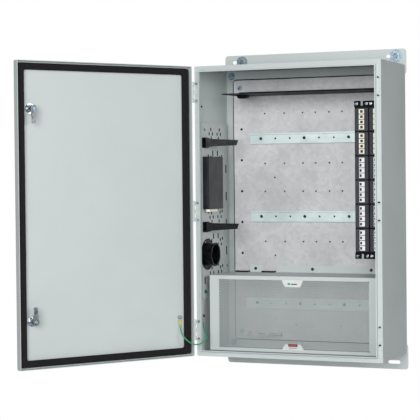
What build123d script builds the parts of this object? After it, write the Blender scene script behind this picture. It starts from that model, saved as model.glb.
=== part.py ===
"""Wall-mounted network zone enclosure with a subpanel, swing door and cable fittings.

Frame: the origin is the centre of the four wall slots, on the wall plane.
+X is to the right, +Y goes into the wall, +Z is up. Lengths are in millimetres.
The door and everything on it is drawn closed, then swung open about its hinge pins.
"""

import os
from math import cos, pi, radians, sin, tan

from build123d import *

# ---- driving dimensions -------------------------------------------------------------

# cabinet
box_width = 610.0
box_height = 914.0
box_depth = 263.0
box_sheet = 2.0
box_corner_r = 4.0
band_width = 13.5  # flat band round the opening, in front
gutter_width = 2.0
gutter_depth = 1.0
lip_sheet = 3.0
lip_height = 10.0

# wall feet
foot_sheet = 3.0
foot_overhang = 3.3  # past each side of the cabinet
foot_rise = 50.5  # past the top or bottom of the cabinet
foot_lap = 31.0  # behind the cabinet
foot_corner_r = 10.0
slot_inset = 42.0  # slot centre, in from the cabinet's side
slot_rise = 28.0  # slot centre, past the cabinet's top or bottom
slot_length = 40.0
slot_width = 11.0
foot_bolt_r = 3.0
foot_bolt_inset_x = 20.0
foot_bolt_inset_z = 18.0

# subpanel
panel_side_gap = 33.0  # between the side wall and the panel
panel_end_gap = 31.0  # between the top or bottom wall and the panel
panel_sheet = 2.0
panel_gap = 19.0  # between the back wall and the panel
panel_corner_r = 8.0
panel_stud_r = 4.0
panel_stud_inset_x = 22.0
panel_stud_inset_z = 25.0
utility_hole_r = 4.0
utility_hole_pitch = 101.5
utility_hole_inset = 26.5
utility_hole_rise = 264.6  # middle hole, above the guard's top
small_hole_r = 2.7
small_hole_offset = 81.5  # rows above and below each rail
small_hole_columns = (-161.7, -94.0, -30.6, 13.0, 59.0, 102.6)

# mounting rails
rail_width = 35.0
rail_depth = 7.5
rail_channel = 27.0
rail_sheet = 1.0
rail_length = 425.0
rail_hole_pitch = 50.0
rail_hole_r = 3.0
panel_screw_r = 2.5
panel_screw_head_r = 4.8
panel_screw_head = 3.0
screw_grip = 4.0  # thread past the sheet that a screw holds in
upper_rail_rise = 436.0  # above the guard's top
middle_rail_rise = 182.0
lower_rail_drop = 101.0  # below the guard's top
lower_rail_x = -18.0

# door
door_depth = 22.0
door_sheet = 2.0
door_gap = 3.0  # closed, between the door's edge and the cabinet's band
door_open_angle = 123.0
gasket_inset = 7.0
gasket_width = 20.0
gasket_clearance = 0.4  # closed, between the gasket and the lip

# hinges
hinge_pitch = 375.0
leaf_height = 65.0
leaf_sheet = 2.0
leaf_width = 13.0
knuckle_r = 3.5
knuckle_count = 5
knuckle_gap = 0.3
pin_r = 1.5
pin_clearance = 0.05
knuckle_side_gap = 0.5  # between the knuckles and the line of the cabinet's side
hinge_screw_pitch = 54.2
hinge_screw_r = 2.0
door_leaf_sheet = 1.5

# latches
latch_pitch_z = 630.0
latch_inset = 48.5
latch_barrel_r = 11.0
latch_flange_r = 14.0
spindle_r = 6.0
cam_reach = 44.0
cam_sheet = 2.5
cam_half_width = 8.0

# power guard
guard_side_gap = 23.0
guard_lift = 13.0  # above the floor of the cabinet
guard_height = 238.0
guard_setback = 48.0  # behind the cabinet's front
guard_sheet = 1.5
guard_flange = 23.0
guard_return = 12.0
guard_screw_pitch = 197.0
guard_entry_width = 43.0
guard_entry_depth = 22.0
guard_entry_places = (41.5, 132.5)  # middles of the two cable entries, from the guard's left side
guard_tab_place = 87.0
guard_tab_width = 48.0
guard_long_flange_start = 154.0
label_half_width = 36.0
label_half_foot = 25.5
label_sheet = 0.8

# side bracket plate and what it carries
bracket_gap = 3.5
bracket_sheet = 1.5
bracket_setback = 31.0
bracket_back_gap = 11.0
bracket_drop = 8.0  # below the guard's top
bracket_height = 494.0
strip_width = 44.0
strip_height = 69.0
bracket_slot_width = 9.0
bracket_slot_height = 10.5
bracket_slot_corner_r = 2.5
bracket_tall_slot = 17.0
bracket_back_slot_height = 28.0
bracket_back_slot_setback = 203.0
bracket_back_slot_lift = 6.0  # above the middle of its group of slots
strip_slot_height = 24.0
strip_slot_drop = 10.0  # below the plate's bottom edge

arm_upper_rise = 421.6
arm_lower_rise = 153.2
arm_setback = 16.0  # behind the bracket's front edge
arm_length = 120.0
arm_root_height = 33.0
arm_height = 24.0
arm_tip_height = 17.0
arm_thickness = 8.0
arm_base_sheet = 4.0

arm_standoff = 7.5  # from the bracket to the foot of the arm's blade
arm_neck = 15.0  # length over which the root narrows to the blade
arm_diamond = 3.4  # half width of the diamond pockets along the blade
arm_diamond_pitch = 11.0
arm_pocket = 1.2
spool_setback = 42.0
spool_rise = 65.0
spool_flange_r = 50.0
spool_hub_r = 36.0
spool_hub_wall = 3.5
spool_front_rim = 1.5  # past the hub
spool_length = 30.0
spool_sheet = 2.5

cassette_setback = 11.0
cassette_rise = 209.5
cassette_depth = 108.0
cassette_height = 168.0
cassette_thickness = 25.0
cassette_lid = 8.0
cassette_wall = 2.5
adapter_pitch = 16.5
adapter_width = 15.8
adapter_height = 8.0
adapter_depth = 13.0
adapter_inset = 13.0  # first adapter's middle, behind the cassette's front edge

# rack panels, stood on end
rack_setback = 60.0
rack_side_gap = 10.5  # between the right wall and the nearer panel
rack_rise = 57.3
rack_width = 44.45
rack_length = 482.6
rack_gap = 1.0
rack_sheet = 2.0
rack_hole_pitch = 31.75  # between the two holes in each end of a panel
rack_notch_width = 7.6
rack_notch_depth = 15.0
rack_screw_head_r = 4.6
rack_screw_head = 2.6
port_pitch = 16.0
port_width = 17.0
port_height = 14.0
port_depth = 28.0
port_mouth_depth = 11.0
port_mouth_inset = 4.6  # mouth centre, in from the left edge of the port
faceplate_margin = 0.4
faceplate_proud = 1.0
faceplate_width = 41.0
port_fit = 0.1
rack_window_pitch = 74.0
rack_window_width = 34.0
rack_window_height = 69.0
rack_screw_pitch = 465.1
port_count = 4

# shelf
shelf_side_gap = 53.0
shelf_setback = 76.0
shelf_drop = 86.0  # below the top of the cabinet
shelf_sheet = 2.0
shelf_flange = 14.0

# earth bar and earth studs
bar_inset = 103.0  # bar centre, in from the panel's left edge
bar_rise = 35.0  # above the guard's bottom
bar_length = 120.0
bar_section = 10.0
bar_standoff = 14.0
bar_hole_pitch = 9.0
bar_screw_count = 12
earth_stud_r = 3.0
earth_stud_length = 13.0
spare_stud_length = 4.0
earth_stud_rise = 125.0  # above the bottom of the cabinet
frame_earth_setback = 31.0
door_earth_inset = 44.4
wire_r = 2.1

# running clearance used wherever a fastener passes a sheet
hole_clearance = 0.3

# ---- places worked out from the sizes ------------------------------------------------

half_w = box_width / 2
half_h = box_height / 2
box_back = -foot_sheet
box_front = box_back - box_depth
back_inner = box_back - box_sheet
wall_inner = half_w - box_sheet
floor_inner = half_h - box_sheet
lip_outer = half_w - band_width - gutter_width
lip_inner = lip_outer - lip_sheet
lip_inner_z = half_h - band_width - gutter_width - lip_sheet
band_back = box_front + box_sheet

slot_x = half_w - slot_inset
slot_z = half_h + slot_rise

panel_width = (wall_inner - panel_side_gap) * 2
panel_height = (floor_inner - panel_end_gap) * 2
panel_back = back_inner - panel_gap
panel_front = panel_back - panel_sheet
panel_stud_x = panel_width / 2 - panel_stud_inset_x
panel_stud_z = panel_height / 2 - panel_stud_inset_z
foot_bolt_x = half_w - foot_bolt_inset_x
foot_bolt_z = half_h - foot_bolt_inset_z

door_edge = box_front - door_gap
door_outer = door_edge - door_depth
door_skin = door_outer + door_sheet
gasket_face = box_front - lip_height - gasket_clearance
hinge_x = -half_w - knuckle_r - knuckle_side_gap
hinge_y = box_front - leaf_sheet - knuckle_r - 0.2
hinge_axis = Axis((hinge_x, hinge_y, 0), (0, 0, 1))
hinge_heights = {"upper": hinge_pitch, "middle": 0.0, "lower": -hinge_pitch}
knuckle_pitch = leaf_height / knuckle_count
latch_x = half_w - latch_inset
latch_heights = {"upper": latch_pitch_z / 2, "lower": -latch_pitch_z / 2}
cam_face = band_back + 1.5

guard_width = (wall_inner - guard_side_gap) * 2
guard_bottom_z = -floor_inner + guard_lift
guard_top_z = guard_bottom_z + guard_height
guard_front_y = box_front + guard_setback
guard_flange_top = guard_top_z + guard_flange
upper_rail_z = guard_top_z + upper_rail_rise
middle_rail_z = guard_top_z + middle_rail_rise
lower_rail_z = guard_top_z - lower_rail_drop

bracket_outer = -wall_inner + bracket_gap
bracket_face = bracket_outer + bracket_sheet
bracket_front_y = box_front + bracket_setback
bracket_back_y = back_inner - bracket_back_gap
bracket_bottom_z = guard_top_z - bracket_drop
bracket_top_z = bracket_bottom_z + bracket_height
strip_back_y = bracket_front_y + strip_width
strip_bottom_z = bracket_bottom_z - strip_height
arm_heights = {
    "upper": guard_top_z + arm_upper_rise,
    "lower": guard_top_z + arm_lower_rise,
}
slot_group_pitch = (arm_upper_rise - arm_lower_rise) / 3
slot_group_heights = [arm_heights["upper"] - k * slot_group_pitch for k in range(6)]
arm_y = bracket_front_y + arm_setback
arm_screw_y = arm_y + 27.0
spool_y = bracket_front_y + spool_setback
spool_z = guard_top_z + spool_rise
spool_bore_r = spool_hub_r - spool_hub_wall
spool_front_r = spool_hub_r + spool_front_rim
cassette_front_y = bracket_front_y + cassette_setback
cassette_bottom_z = guard_top_z + cassette_rise

rack_face_y = box_front + rack_setback
rack_left_x = wall_inner - rack_side_gap - rack_gap - rack_width * 2
rack_centre_z = guard_top_z + rack_rise + rack_length / 2
rack_notch_lift = (rack_length - rack_notch_depth - rack_screw_pitch) / 2 + 0.5
shelf_width = (wall_inner - shelf_side_gap) * 2
shelf_front_y = box_front + shelf_setback
shelf_z = half_h - shelf_drop
shelf_screw_z = shelf_z + shelf_sheet + (shelf_flange - shelf_sheet) / 2
bar_centre_x = -panel_width / 2 + bar_inset
bar_z = guard_bottom_z + bar_rise
earth_stud_z = -half_h + earth_stud_rise
frame_earth_y = box_front + frame_earth_setback
door_earth_x = -half_w + door_earth_inset
rail_screw_places = [-3.5 * rail_hole_pitch, -0.5 * rail_hole_pitch, 2.5 * rail_hole_pitch]
rail_hole_places = [(k - 3.5) * rail_hole_pitch for k in range(8)]
guard_screw_z = (guard_top_z + guard_flange_top) / 2
shelf_screw_places = (50.0 - shelf_width / 2, shelf_width / 2 - 50.0)
rack_centres = {
    "left": rack_left_x + rack_width / 2,
    "right": rack_left_x + rack_gap + 1.5 * rack_width,
}
rack_windows = [rack_centre_z + (k - 2.5) * rack_window_pitch for k in range(6)]


def save(part, name):
    """Label a finished piece and write its STEP file."""
    part.label = name
    export_step(part, f"parts/{name}.step")


def save_on_door(part, name):
    """Swing a piece of the closed door to its open rest place, then write it."""
    save(part.rotate(hinge_axis, -door_open_angle), name)


def facing(x, y, z):
    """Plane at a point with its normal towards the front and local axes X and Z."""
    return Plane(origin=(x, y, z), x_dir=(1, 0, 0), z_dir=(0, -1, 0))


def inward(x, y, z):
    """Plane at a point with its normal towards the right and local axes Y and Z."""
    return Plane(origin=(x, y, z), x_dir=(0, 1, 0), z_dir=(1, 0, 0))


def group(pieces):
    """Put several separate solids into one node."""
    return Compound(children=list(pieces))


def headed_screw(plane, head_r, head_height, shank_r, shank_length):
    """Pan-head screw: head outside the plane, shank behind it."""
    with BuildPart() as screw:
        with BuildSketch(plane):
            Circle(head_r)
        extrude(amount=head_height)
        rim = screw.edges().group_by(Axis(plane.origin, plane.z_dir))[-1]
        fillet(rim, head_height * 0.35)
        with BuildSketch(plane.offset(head_height)):
            Rectangle(head_r * 1.3, head_r * 0.25)
            Rectangle(head_r * 0.25, head_r * 1.3)
        extrude(amount=-head_height * 0.5, mode=Mode.SUBTRACT)
        with BuildSketch(plane):
            Circle(shank_r)
        extrude(amount=-shank_length)
    return screw.part


def flange_nut(plane, flange_r, across_flats, height, bore_r):
    """Hexagon nut on a round flange, standing on the plane."""
    with BuildPart() as nut:
        with BuildSketch(plane):
            Circle(flange_r)
        extrude(amount=height * 0.22)
        with BuildSketch(plane):
            RegularPolygon(across_flats / 2, 6, major_radius=False)
        extrude(amount=height)
        with BuildSketch(plane):
            Circle(bore_r)
        extrude(amount=height, mode=Mode.SUBTRACT)
    return nut.part


def rod(plane, radius, length):
    """Plain round rod standing on the plane, with a small lead on its free end."""
    with BuildPart() as stud:
        with BuildSketch(plane):
            Circle(radius)
        extrude(amount=length)
        tip = stud.edges().group_by(Axis(plane.origin, plane.z_dir))[-1]
        chamfer(tip, radius * 0.25)
    return stud.part


# ---- cabinet -------------------------------------------------------------------------


def make_enclosure_body():
    with BuildPart() as enclosure_body:
        with BuildSketch(facing(0, box_back, 0)):
            RectangleRounded(box_width, box_height, box_corner_r)
        extrude(amount=box_depth)
        with BuildSketch(facing(0, back_inner, 0)):
            RectangleRounded(wall_inner * 2, floor_inner * 2, box_corner_r - box_sheet)
        extrude(amount=box_depth - box_sheet * 2, mode=Mode.SUBTRACT)
        with BuildSketch(facing(0, band_back, 0)):
            RectangleRounded(lip_outer * 2, (lip_inner_z + lip_sheet) * 2, 2.0)
        extrude(amount=box_sheet + lip_height)
        front_edges = enclosure_body.edges().group_by(Axis.Y)[0]
        fillet(front_edges, lip_sheet * 0.4)
        with BuildSketch(facing(0, band_back + 1, 0)):
            RectangleRounded(lip_inner * 2, lip_inner_z * 2, 1.5)
        extrude(amount=box_sheet + lip_height + 2, mode=Mode.SUBTRACT)
        with BuildSketch(facing(0, box_front, 0)):
            RectangleRounded((lip_outer + gutter_width) * 2, (half_h - band_width) * 2, 3.0)
            RectangleRounded(lip_outer * 2, (lip_inner_z + lip_sheet) * 2, 2.0, mode=Mode.SUBTRACT)
        extrude(amount=-gutter_depth, mode=Mode.SUBTRACT)
        band_x = half_w - band_width / 2 - 0.5
        for height in hinge_heights.values():
            with Locations(facing(0, box_front, height)):
                with GridLocations(band_x * 2, hinge_screw_pitch, 2, 2):
                    Hole(hinge_screw_r + hole_clearance, depth=box_sheet + 1)
        with Locations(facing(0, back_inner, 0)):
            with GridLocations(foot_bolt_x * 2, foot_bolt_z * 2, 2, 2):
                Hole(foot_bolt_r + 0.05, depth=box_sheet + 1)
    save(enclosure_body.part, "enclosure_body")


def make_mounting_foot():
    foot_height = foot_rise + foot_lap
    foot_centre_z = half_h + foot_rise - foot_height / 2
    with BuildPart() as mounting_foot_top:
        with BuildSketch(facing(0, 0, foot_centre_z)):
            RectangleRounded(box_width + foot_overhang * 2, foot_height, foot_corner_r)
            with Locations((0, slot_z - foot_centre_z)):
                with GridLocations(slot_x * 2, 0, 2, 1):
                    SlotOverall(slot_length, slot_width, mode=Mode.SUBTRACT)
        extrude(amount=foot_sheet)
        wall_side = Plane(origin=(0, 0, foot_bolt_z), x_dir=(1, 0, 0), z_dir=(0, 1, 0))
        with Locations(wall_side):
            with GridLocations(foot_bolt_x * 2, 0, 2, 1):
                CounterBoreHole(foot_bolt_r + 0.05, foot_bolt_r * 2 + 0.2, 1.8, depth=foot_sheet)
    save(mounting_foot_top.part, "mounting_foot_top")
    save(mounting_foot_top.part.mirror(Plane.XY), "mounting_foot_bottom")


def make_foot_fasteners():
    bolts = []
    nuts = []
    for x in (-foot_bolt_x, foot_bolt_x):
        for z in (-foot_bolt_z, foot_bolt_z):
            with BuildPart() as foot_bolt:
                with BuildSketch(facing(x, 0, z)):
                    Circle(foot_bolt_r * 2)
                extrude(amount=1.8)
                with BuildSketch(facing(x, 0, z)):
                    Circle(foot_bolt_r)
                extrude(amount=foot_sheet + box_sheet + 9)
            bolts.append(foot_bolt.part)
            nuts.append(flange_nut(facing(x, back_inner, z), 12.0, 14.0, 6.5, foot_bolt_r + 0.05))
    save(group(bolts), "foot_bolts")
    save(group(nuts), "foot_nuts")


# ---- subpanel ------------------------------------------------------------------------


def make_subpanel():
    upper_rails = (upper_rail_z, middle_rail_z)
    rows = [rail + side * small_hole_offset for rail in upper_rails for side in (-1, 1)]
    odd_holes = [(-128.4, rail - 127.0) for rail in upper_rails]
    odd_holes += [(x, lower_rail_z - 69.5) for x in (-59.6, 95.4)]
    with BuildPart() as subpanel:
        with BuildSketch(facing(0, panel_back, 0)):
            RectangleRounded(panel_width, panel_height, panel_corner_r)
        extrude(amount=panel_sheet)
        with Locations(facing(0, panel_front, 0)):
            with GridLocations(panel_stud_x * 2, panel_stud_z * 2, 2, 2):
                Hole(panel_stud_r + hole_clearance, depth=panel_sheet)
            with Locations(*[(x, z) for x in small_hole_columns for z in rows], *odd_holes):
                Hole(small_hole_r, depth=panel_sheet)
            with Locations((0, guard_top_z + utility_hole_rise)):
                with GridLocations(panel_width - utility_hole_inset * 2, utility_hole_pitch, 2, 5):
                    Hole(utility_hole_r, depth=panel_sheet)
            for x in rail_hole_places:
                free = x not in rail_screw_places
                radius = rail_hole_r if free else panel_screw_r + hole_clearance
                with Locations((x, upper_rail_z), (x, middle_rail_z), (x + lower_rail_x, lower_rail_z)):
                    Hole(radius, depth=panel_sheet)
            with Locations((0, guard_screw_z)):
                with GridLocations(guard_screw_pitch, 0, 3, 1):
                    Hole(panel_screw_r + hole_clearance, depth=panel_sheet)
            with Locations(*[(x, shelf_screw_z) for x in shelf_screw_places]):
                Hole(panel_screw_r + hole_clearance, depth=panel_sheet)
    save(subpanel.part, "subpanel")


def make_subpanel_fasteners():
    studs = []
    spacers = []
    nuts = []
    for x in (-panel_stud_x, panel_stud_x):
        for z in (-panel_stud_z, panel_stud_z):
            wall = facing(x, back_inner, z)
            studs.append(rod(wall, panel_stud_r, panel_gap + panel_sheet + 12))
            with BuildPart() as spacer:
                with BuildSketch(wall):
                    Circle(7)
                    Circle(panel_stud_r + 0.1, mode=Mode.SUBTRACT)
                extrude(amount=panel_gap)
            spacers.append(spacer.part)
            nuts.append(flange_nut(facing(x, panel_front, z), 8.0, 13.0, 7.0, panel_stud_r + 0.05))
    save(group(studs), "subpanel_studs")
    save(group(spacers), "subpanel_spacers")
    save(group(nuts), "subpanel_nuts")


def make_rail(name, centre_x, centre_z):
    start_x = centre_x - rail_length / 2
    section = Plane(origin=(start_x, panel_front, centre_z), x_dir=(0, 0, -1), z_dir=(1, 0, 0))
    with BuildPart() as din_rail:
        with BuildSketch(section):
            with Locations((0, -rail_sheet / 2)):
                Rectangle(rail_channel, rail_sheet)
            with Locations((0, -rail_depth + rail_sheet / 2)):
                Rectangle(rail_width, rail_sheet)
                Rectangle(rail_channel - rail_sheet * 2, rail_sheet, mode=Mode.SUBTRACT)
            for side in (-1, 1):
                with Locations((side * (rail_channel - rail_sheet) / 2, -rail_depth / 2)):
                    Rectangle(rail_sheet, rail_depth)
        extrude(amount=rail_length)
        with Locations(facing(centre_x, panel_front - rail_sheet, centre_z)):
            with Locations(*[(x, 0) for x in rail_hole_places]):
                Hole(rail_hole_r, depth=rail_sheet)
    save(din_rail.part, name)


def make_panel_screws():
    """The same pan-head screw holds the rails, the guard and the shelf to the subpanel."""
    seats = []
    for centre_x, z in ((0, upper_rail_z), (0, middle_rail_z), (lower_rail_x, lower_rail_z)):
        seats += [(centre_x + x, rail_sheet, z) for x in rail_screw_places]
    seats += [(k * guard_screw_pitch, guard_sheet, guard_screw_z) for k in (-1, 0, 1)]
    seats += [(x, shelf_sheet, shelf_screw_z) for x in shelf_screw_places]
    screws = []
    for x, held_sheet, z in seats:
        seat = facing(x, panel_front - held_sheet, z)
        shank = held_sheet + panel_sheet + screw_grip
        screws.append(headed_screw(seat, panel_screw_head_r, panel_screw_head, panel_screw_r, shank))
    save(group(screws), "panel_screws")


# ---- door ----------------------------------------------------------------------------


def make_door():
    leaf_screw_y = hinge_y - 12
    with BuildPart() as door_panel:
        with BuildSketch(facing(0, door_edge, 0)):
            RectangleRounded(box_width, box_height, box_corner_r)
        extrude(amount=door_depth)
        with BuildSketch(facing(0, door_edge, 0)):
            inner_r = box_corner_r - door_sheet
            RectangleRounded(box_width - door_sheet * 2, box_height - door_sheet * 2, inner_r)
        extrude(amount=door_depth - door_sheet, mode=Mode.SUBTRACT)
        with Locations(facing(0, door_outer, 0)):
            with Locations(*[(latch_x, z) for z in latch_heights.values()]):
                Hole(latch_barrel_r + 0.05, depth=door_sheet)
        for height in hinge_heights.values():
            for side in (-1, 1):
                with Locations(inward(-half_w + door_sheet, leaf_screw_y, height + side * 22)):
                    Hole(hinge_screw_r + hole_clearance, depth=door_sheet)
    save_on_door(door_panel.part, "door_panel")

    with BuildPart() as door_gasket:
        with BuildSketch(facing(0, door_skin, 0)):
            outer_w = box_width - gasket_inset * 2
            outer_h = box_height - gasket_inset * 2
            RectangleRounded(outer_w, outer_h, 9.0)
            inner_w = outer_w - gasket_width * 2
            RectangleRounded(inner_w, outer_h - gasket_width * 2, 7.0, mode=Mode.SUBTRACT)
        extrude(amount=door_skin - gasket_face)
        crown = door_gasket.faces().sort_by(Axis.Y)[-1].edges()
        fillet(crown, 3.0)
    save_on_door(door_gasket.part, "door_gasket")


# ---- hinges --------------------------------------------------------------------------


def knuckle_range(height, index):
    """Lowest and highest z of one knuckle of the hinge at this height."""
    low = height - leaf_height / 2 + index * knuckle_pitch
    return low + knuckle_gap / 2, low + knuckle_pitch - knuckle_gap / 2


def make_frame_leaf(height):
    bottom = height - leaf_height / 2
    plate_left = -half_w + 0.3
    plate_right = plate_left + leaf_width - 0.5
    screw_x = -half_w + band_width / 2 + 0.5
    with BuildPart() as frame_leaf:
        with BuildSketch(Plane.XY.offset(bottom)):
            with Locations(((plate_left + plate_right) / 2, box_front - leaf_sheet / 2)):
                Rectangle(plate_right - plate_left, leaf_sheet)
        extrude(amount=leaf_height)
        for index in range(0, knuckle_count, 2):
            low, high = knuckle_range(height, index)
            with BuildSketch(Plane.XY.offset(low)):
                with Locations((hinge_x, hinge_y)):
                    Circle(knuckle_r)
                with BuildLine():
                    Polyline(
                        (hinge_x, hinge_y),
                        (hinge_x + knuckle_r, hinge_y),
                        (hinge_x + knuckle_r, box_front - leaf_sheet),
                        (plate_left, box_front - leaf_sheet),
                        (plate_left, box_front),
                        (hinge_x, box_front),
                        close=True,
                    )
                make_face()
            extrude(amount=high - low)
        with BuildSketch(Plane.XY.offset(bottom)):
            with Locations((hinge_x, hinge_y)):
                Circle(pin_r + pin_clearance)
        extrude(amount=leaf_height, mode=Mode.SUBTRACT)
        with Locations(facing(screw_x, box_front - leaf_sheet, height)):
            with GridLocations(0, hinge_screw_pitch, 1, 2):
                Hole(hinge_screw_r + hole_clearance, depth=leaf_sheet)
    return frame_leaf.part


def make_door_leaf(height):
    bottom = height - leaf_height / 2
    plate_top_y = hinge_y - knuckle_r - 1.5
    plate_bottom_y = hinge_y - 18
    with BuildPart() as door_leaf:
        with BuildSketch(Plane.XY.offset(bottom)):
            with Locations((-half_w - door_leaf_sheet / 2, (plate_top_y + plate_bottom_y) / 2)):
                Rectangle(door_leaf_sheet, plate_top_y - plate_bottom_y)
        extrude(amount=leaf_height)
        for index in range(1, knuckle_count, 2):
            low, high = knuckle_range(height, index)
            with BuildSketch(Plane.XY.offset(low)):
                with Locations((hinge_x, hinge_y)):
                    Circle(knuckle_r)
                with Locations(((hinge_x + knuckle_r + 0.3) - 1.0, (plate_top_y + hinge_y) / 2)):
                    Rectangle(1.4, hinge_y - plate_top_y + 1)
            extrude(amount=high - low)
        with BuildSketch(Plane.XY.offset(bottom)):
            with Locations((hinge_x, hinge_y)):
                Circle(pin_r + pin_clearance)
        extrude(amount=leaf_height, mode=Mode.SUBTRACT)
        for side in (-1, 1):
            with Locations(inward(-half_w, hinge_y - 12, height + side * 22)):
                Hole(hinge_screw_r + hole_clearance, depth=door_leaf_sheet)
    return door_leaf.part.rotate(hinge_axis, -door_open_angle)


def make_hinge_leaves():
    save(group([make_frame_leaf(z) for z in hinge_heights.values()]), "hinge_frame_leaves")
    save(group([make_door_leaf(z) for z in hinge_heights.values()]), "hinge_door_leaves")


def make_hinge_fasteners():
    frame_screws = []
    door_screws = []
    pins = []
    screw_x = -half_w + band_width / 2 + 0.5
    for height in hinge_heights.values():
        for side in (-1, 1):
            z = height + side * hinge_screw_pitch / 2
            seat = facing(screw_x, box_front - leaf_sheet, z)
            frame_screws.append(headed_screw(seat, 4.2, 2.4, hinge_screw_r, leaf_sheet + 7))
            leaf_face = Plane(
                origin=(-half_w - door_leaf_sheet, hinge_y - 12, height + side * 22),
                x_dir=(0, 1, 0),
                z_dir=(-1, 0, 0),
            )
            screw = headed_screw(leaf_face, 4.2, 2.4, hinge_screw_r, door_leaf_sheet + 5)
            door_screws.append(screw.rotate(hinge_axis, -door_open_angle))
        with BuildPart() as pin:
            with BuildSketch(Plane.XY.offset(height - leaf_height / 2)):
                with Locations((hinge_x, hinge_y)):
                    Circle(pin_r)
            extrude(amount=leaf_height)
            with BuildSketch(Plane.XY.offset(height + leaf_height / 2 - knuckle_gap / 2)):
                with Locations((hinge_x, hinge_y)):
                    Circle(knuckle_r * 0.8)
            extrude(amount=1.6)
        pins.append(pin.part)
    save(group(frame_screws), "hinge_frame_screws")
    save(group(door_screws), "hinge_door_screws")
    save(group(pins), "hinge_pins")


# ---- latches -------------------------------------------------------------------------


def make_latch(station, height):
    """Quarter-turn cam lock. The cam hangs towards the door's middle when unlocked."""
    towards = -1 if station == "upper" else 1
    with BuildPart() as latch_barrel:
        with BuildSketch(facing(latch_x, door_outer, height)):
            Circle(latch_flange_r)
        extrude(amount=2.5)
        outer_rim = latch_barrel.edges().group_by(Axis.Y)[0]
        fillet(outer_rim, 1.0)
        with BuildSketch(facing(latch_x, door_outer, height)):
            Circle(latch_barrel_r)
        extrude(amount=-(cam_face - 4.0 - door_outer))
        with BuildSketch(facing(latch_x, door_outer - 2.5, height)):
            Circle(spindle_r + 0.05)
        extrude(amount=-(cam_face - door_outer + 2.5), mode=Mode.SUBTRACT)
    save_on_door(latch_barrel.part, f"latch_barrel_{station}")

    with BuildPart() as latch_spindle:
        with BuildSketch(facing(latch_x, door_outer - 2.0, height)):
            Circle(spindle_r)
        extrude(amount=-(cam_face - door_outer + 2.0))
        with BuildSketch(facing(latch_x, door_outer - 2.0, height)):
            Rectangle(spindle_r * 1.5, 2.0)
        extrude(amount=-2.5, mode=Mode.SUBTRACT)
    save_on_door(latch_spindle.part, f"latch_spindle_{station}")

    with BuildPart() as latch_cam:
        with BuildSketch(facing(latch_x, cam_face, height)):
            Circle(cam_half_width + 2)
            with Locations((0, towards * cam_reach / 4)):
                Rectangle(cam_half_width * 2, cam_reach / 2)
        extrude(amount=-cam_sheet)
        tongue_plane = facing(latch_x, cam_face, height)
        with BuildSketch(tongue_plane):
            with Locations((0, towards * (cam_reach * 0.75 - 1))):
                RectangleRounded(cam_half_width * 1.5, cam_reach / 2 + 2, 2.5)
        extrude(amount=-cam_sheet)
        with BuildSketch(facing(latch_x, cam_face + cam_sheet, height)):
            with Locations((0, towards * cam_reach * 0.42)):
                Rectangle(cam_half_width * 1.4, cam_reach * 0.2)
        extrude(amount=-1.2)
        with BuildSketch(facing(latch_x, cam_face, height)):
            Circle(3.05)
        extrude(amount=-cam_sheet - 2, mode=Mode.SUBTRACT)
    save_on_door(latch_cam.part, f"latch_cam_{station}")

    seat = Plane(
        origin=(latch_x, cam_face + cam_sheet, height), x_dir=(1, 0, 0), z_dir=(0, 1, 0)
    )
    screw = headed_screw(seat, 5.0, 3.2, 3.0, cam_sheet)
    save_on_door(screw, f"latch_cam_screw_{station}")


def make_latch_nuts():
    nuts = []
    for height in latch_heights.values():
        seat = Plane(origin=(latch_x, door_skin, height), x_dir=(1, 0, 0), z_dir=(0, 1, 0))
        nut = flange_nut(seat, latch_barrel_r + 3.5, 25.0, 6.0, latch_barrel_r + 0.05)
        nuts.append(nut.rotate(hinge_axis, -door_open_angle))
    save(group(nuts), "latch_nuts")


# ---- power guard ---------------------------------------------------------------------


def make_power_guard():
    half = guard_width / 2
    middle_z = (guard_top_z + guard_bottom_z) / 2
    with BuildPart() as power_guard:
        with BuildSketch(facing(0, guard_front_y + guard_sheet, middle_z)):
            Rectangle(guard_width, guard_top_z - guard_bottom_z)
        extrude(amount=guard_sheet)
        with BuildSketch(Plane.XY.offset(guard_top_z)):
            with Locations((0, (guard_front_y + panel_front) / 2)):
                Rectangle(guard_width, panel_front - guard_front_y)
            with Locations(*[(place - half, panel_front) for place in guard_entry_places]):
                Rectangle(guard_entry_width, guard_entry_depth * 2, mode=Mode.SUBTRACT)
        extrude(amount=-guard_sheet)
        flange_z = (guard_top_z - guard_sheet + guard_flange_top) / 2
        flange_height = guard_flange_top - guard_top_z + guard_sheet
        with BuildSketch(facing(0, panel_front, flange_z)):
            with Locations((guard_tab_place - half, 0)):
                Rectangle(guard_tab_width, flange_height)
            with Locations((guard_long_flange_start / 2, 0)):
                Rectangle(guard_width - guard_long_flange_start, flange_height)
        extrude(amount=guard_sheet)
        with BuildSketch(Plane.XY.offset(guard_bottom_z)):
            with Locations((0, guard_front_y + guard_return / 2)):
                Rectangle(guard_width, guard_return)
        extrude(amount=guard_sheet)
        for side in (-1, 1):
            with BuildSketch(inward(side * (half - guard_sheet / 2), 0, middle_z)):
                with Locations((guard_front_y + guard_return / 2, 0)):
                    Rectangle(guard_return, guard_top_z - guard_bottom_z)
            extrude(amount=guard_sheet / 2, both=True)
        with Locations(facing(0, panel_front - guard_sheet, guard_screw_z)):
            with GridLocations(guard_screw_pitch, 0, 3, 1):
                Hole(panel_screw_r + hole_clearance, depth=guard_sheet)
    save(power_guard.part, "power_guard")


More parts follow.
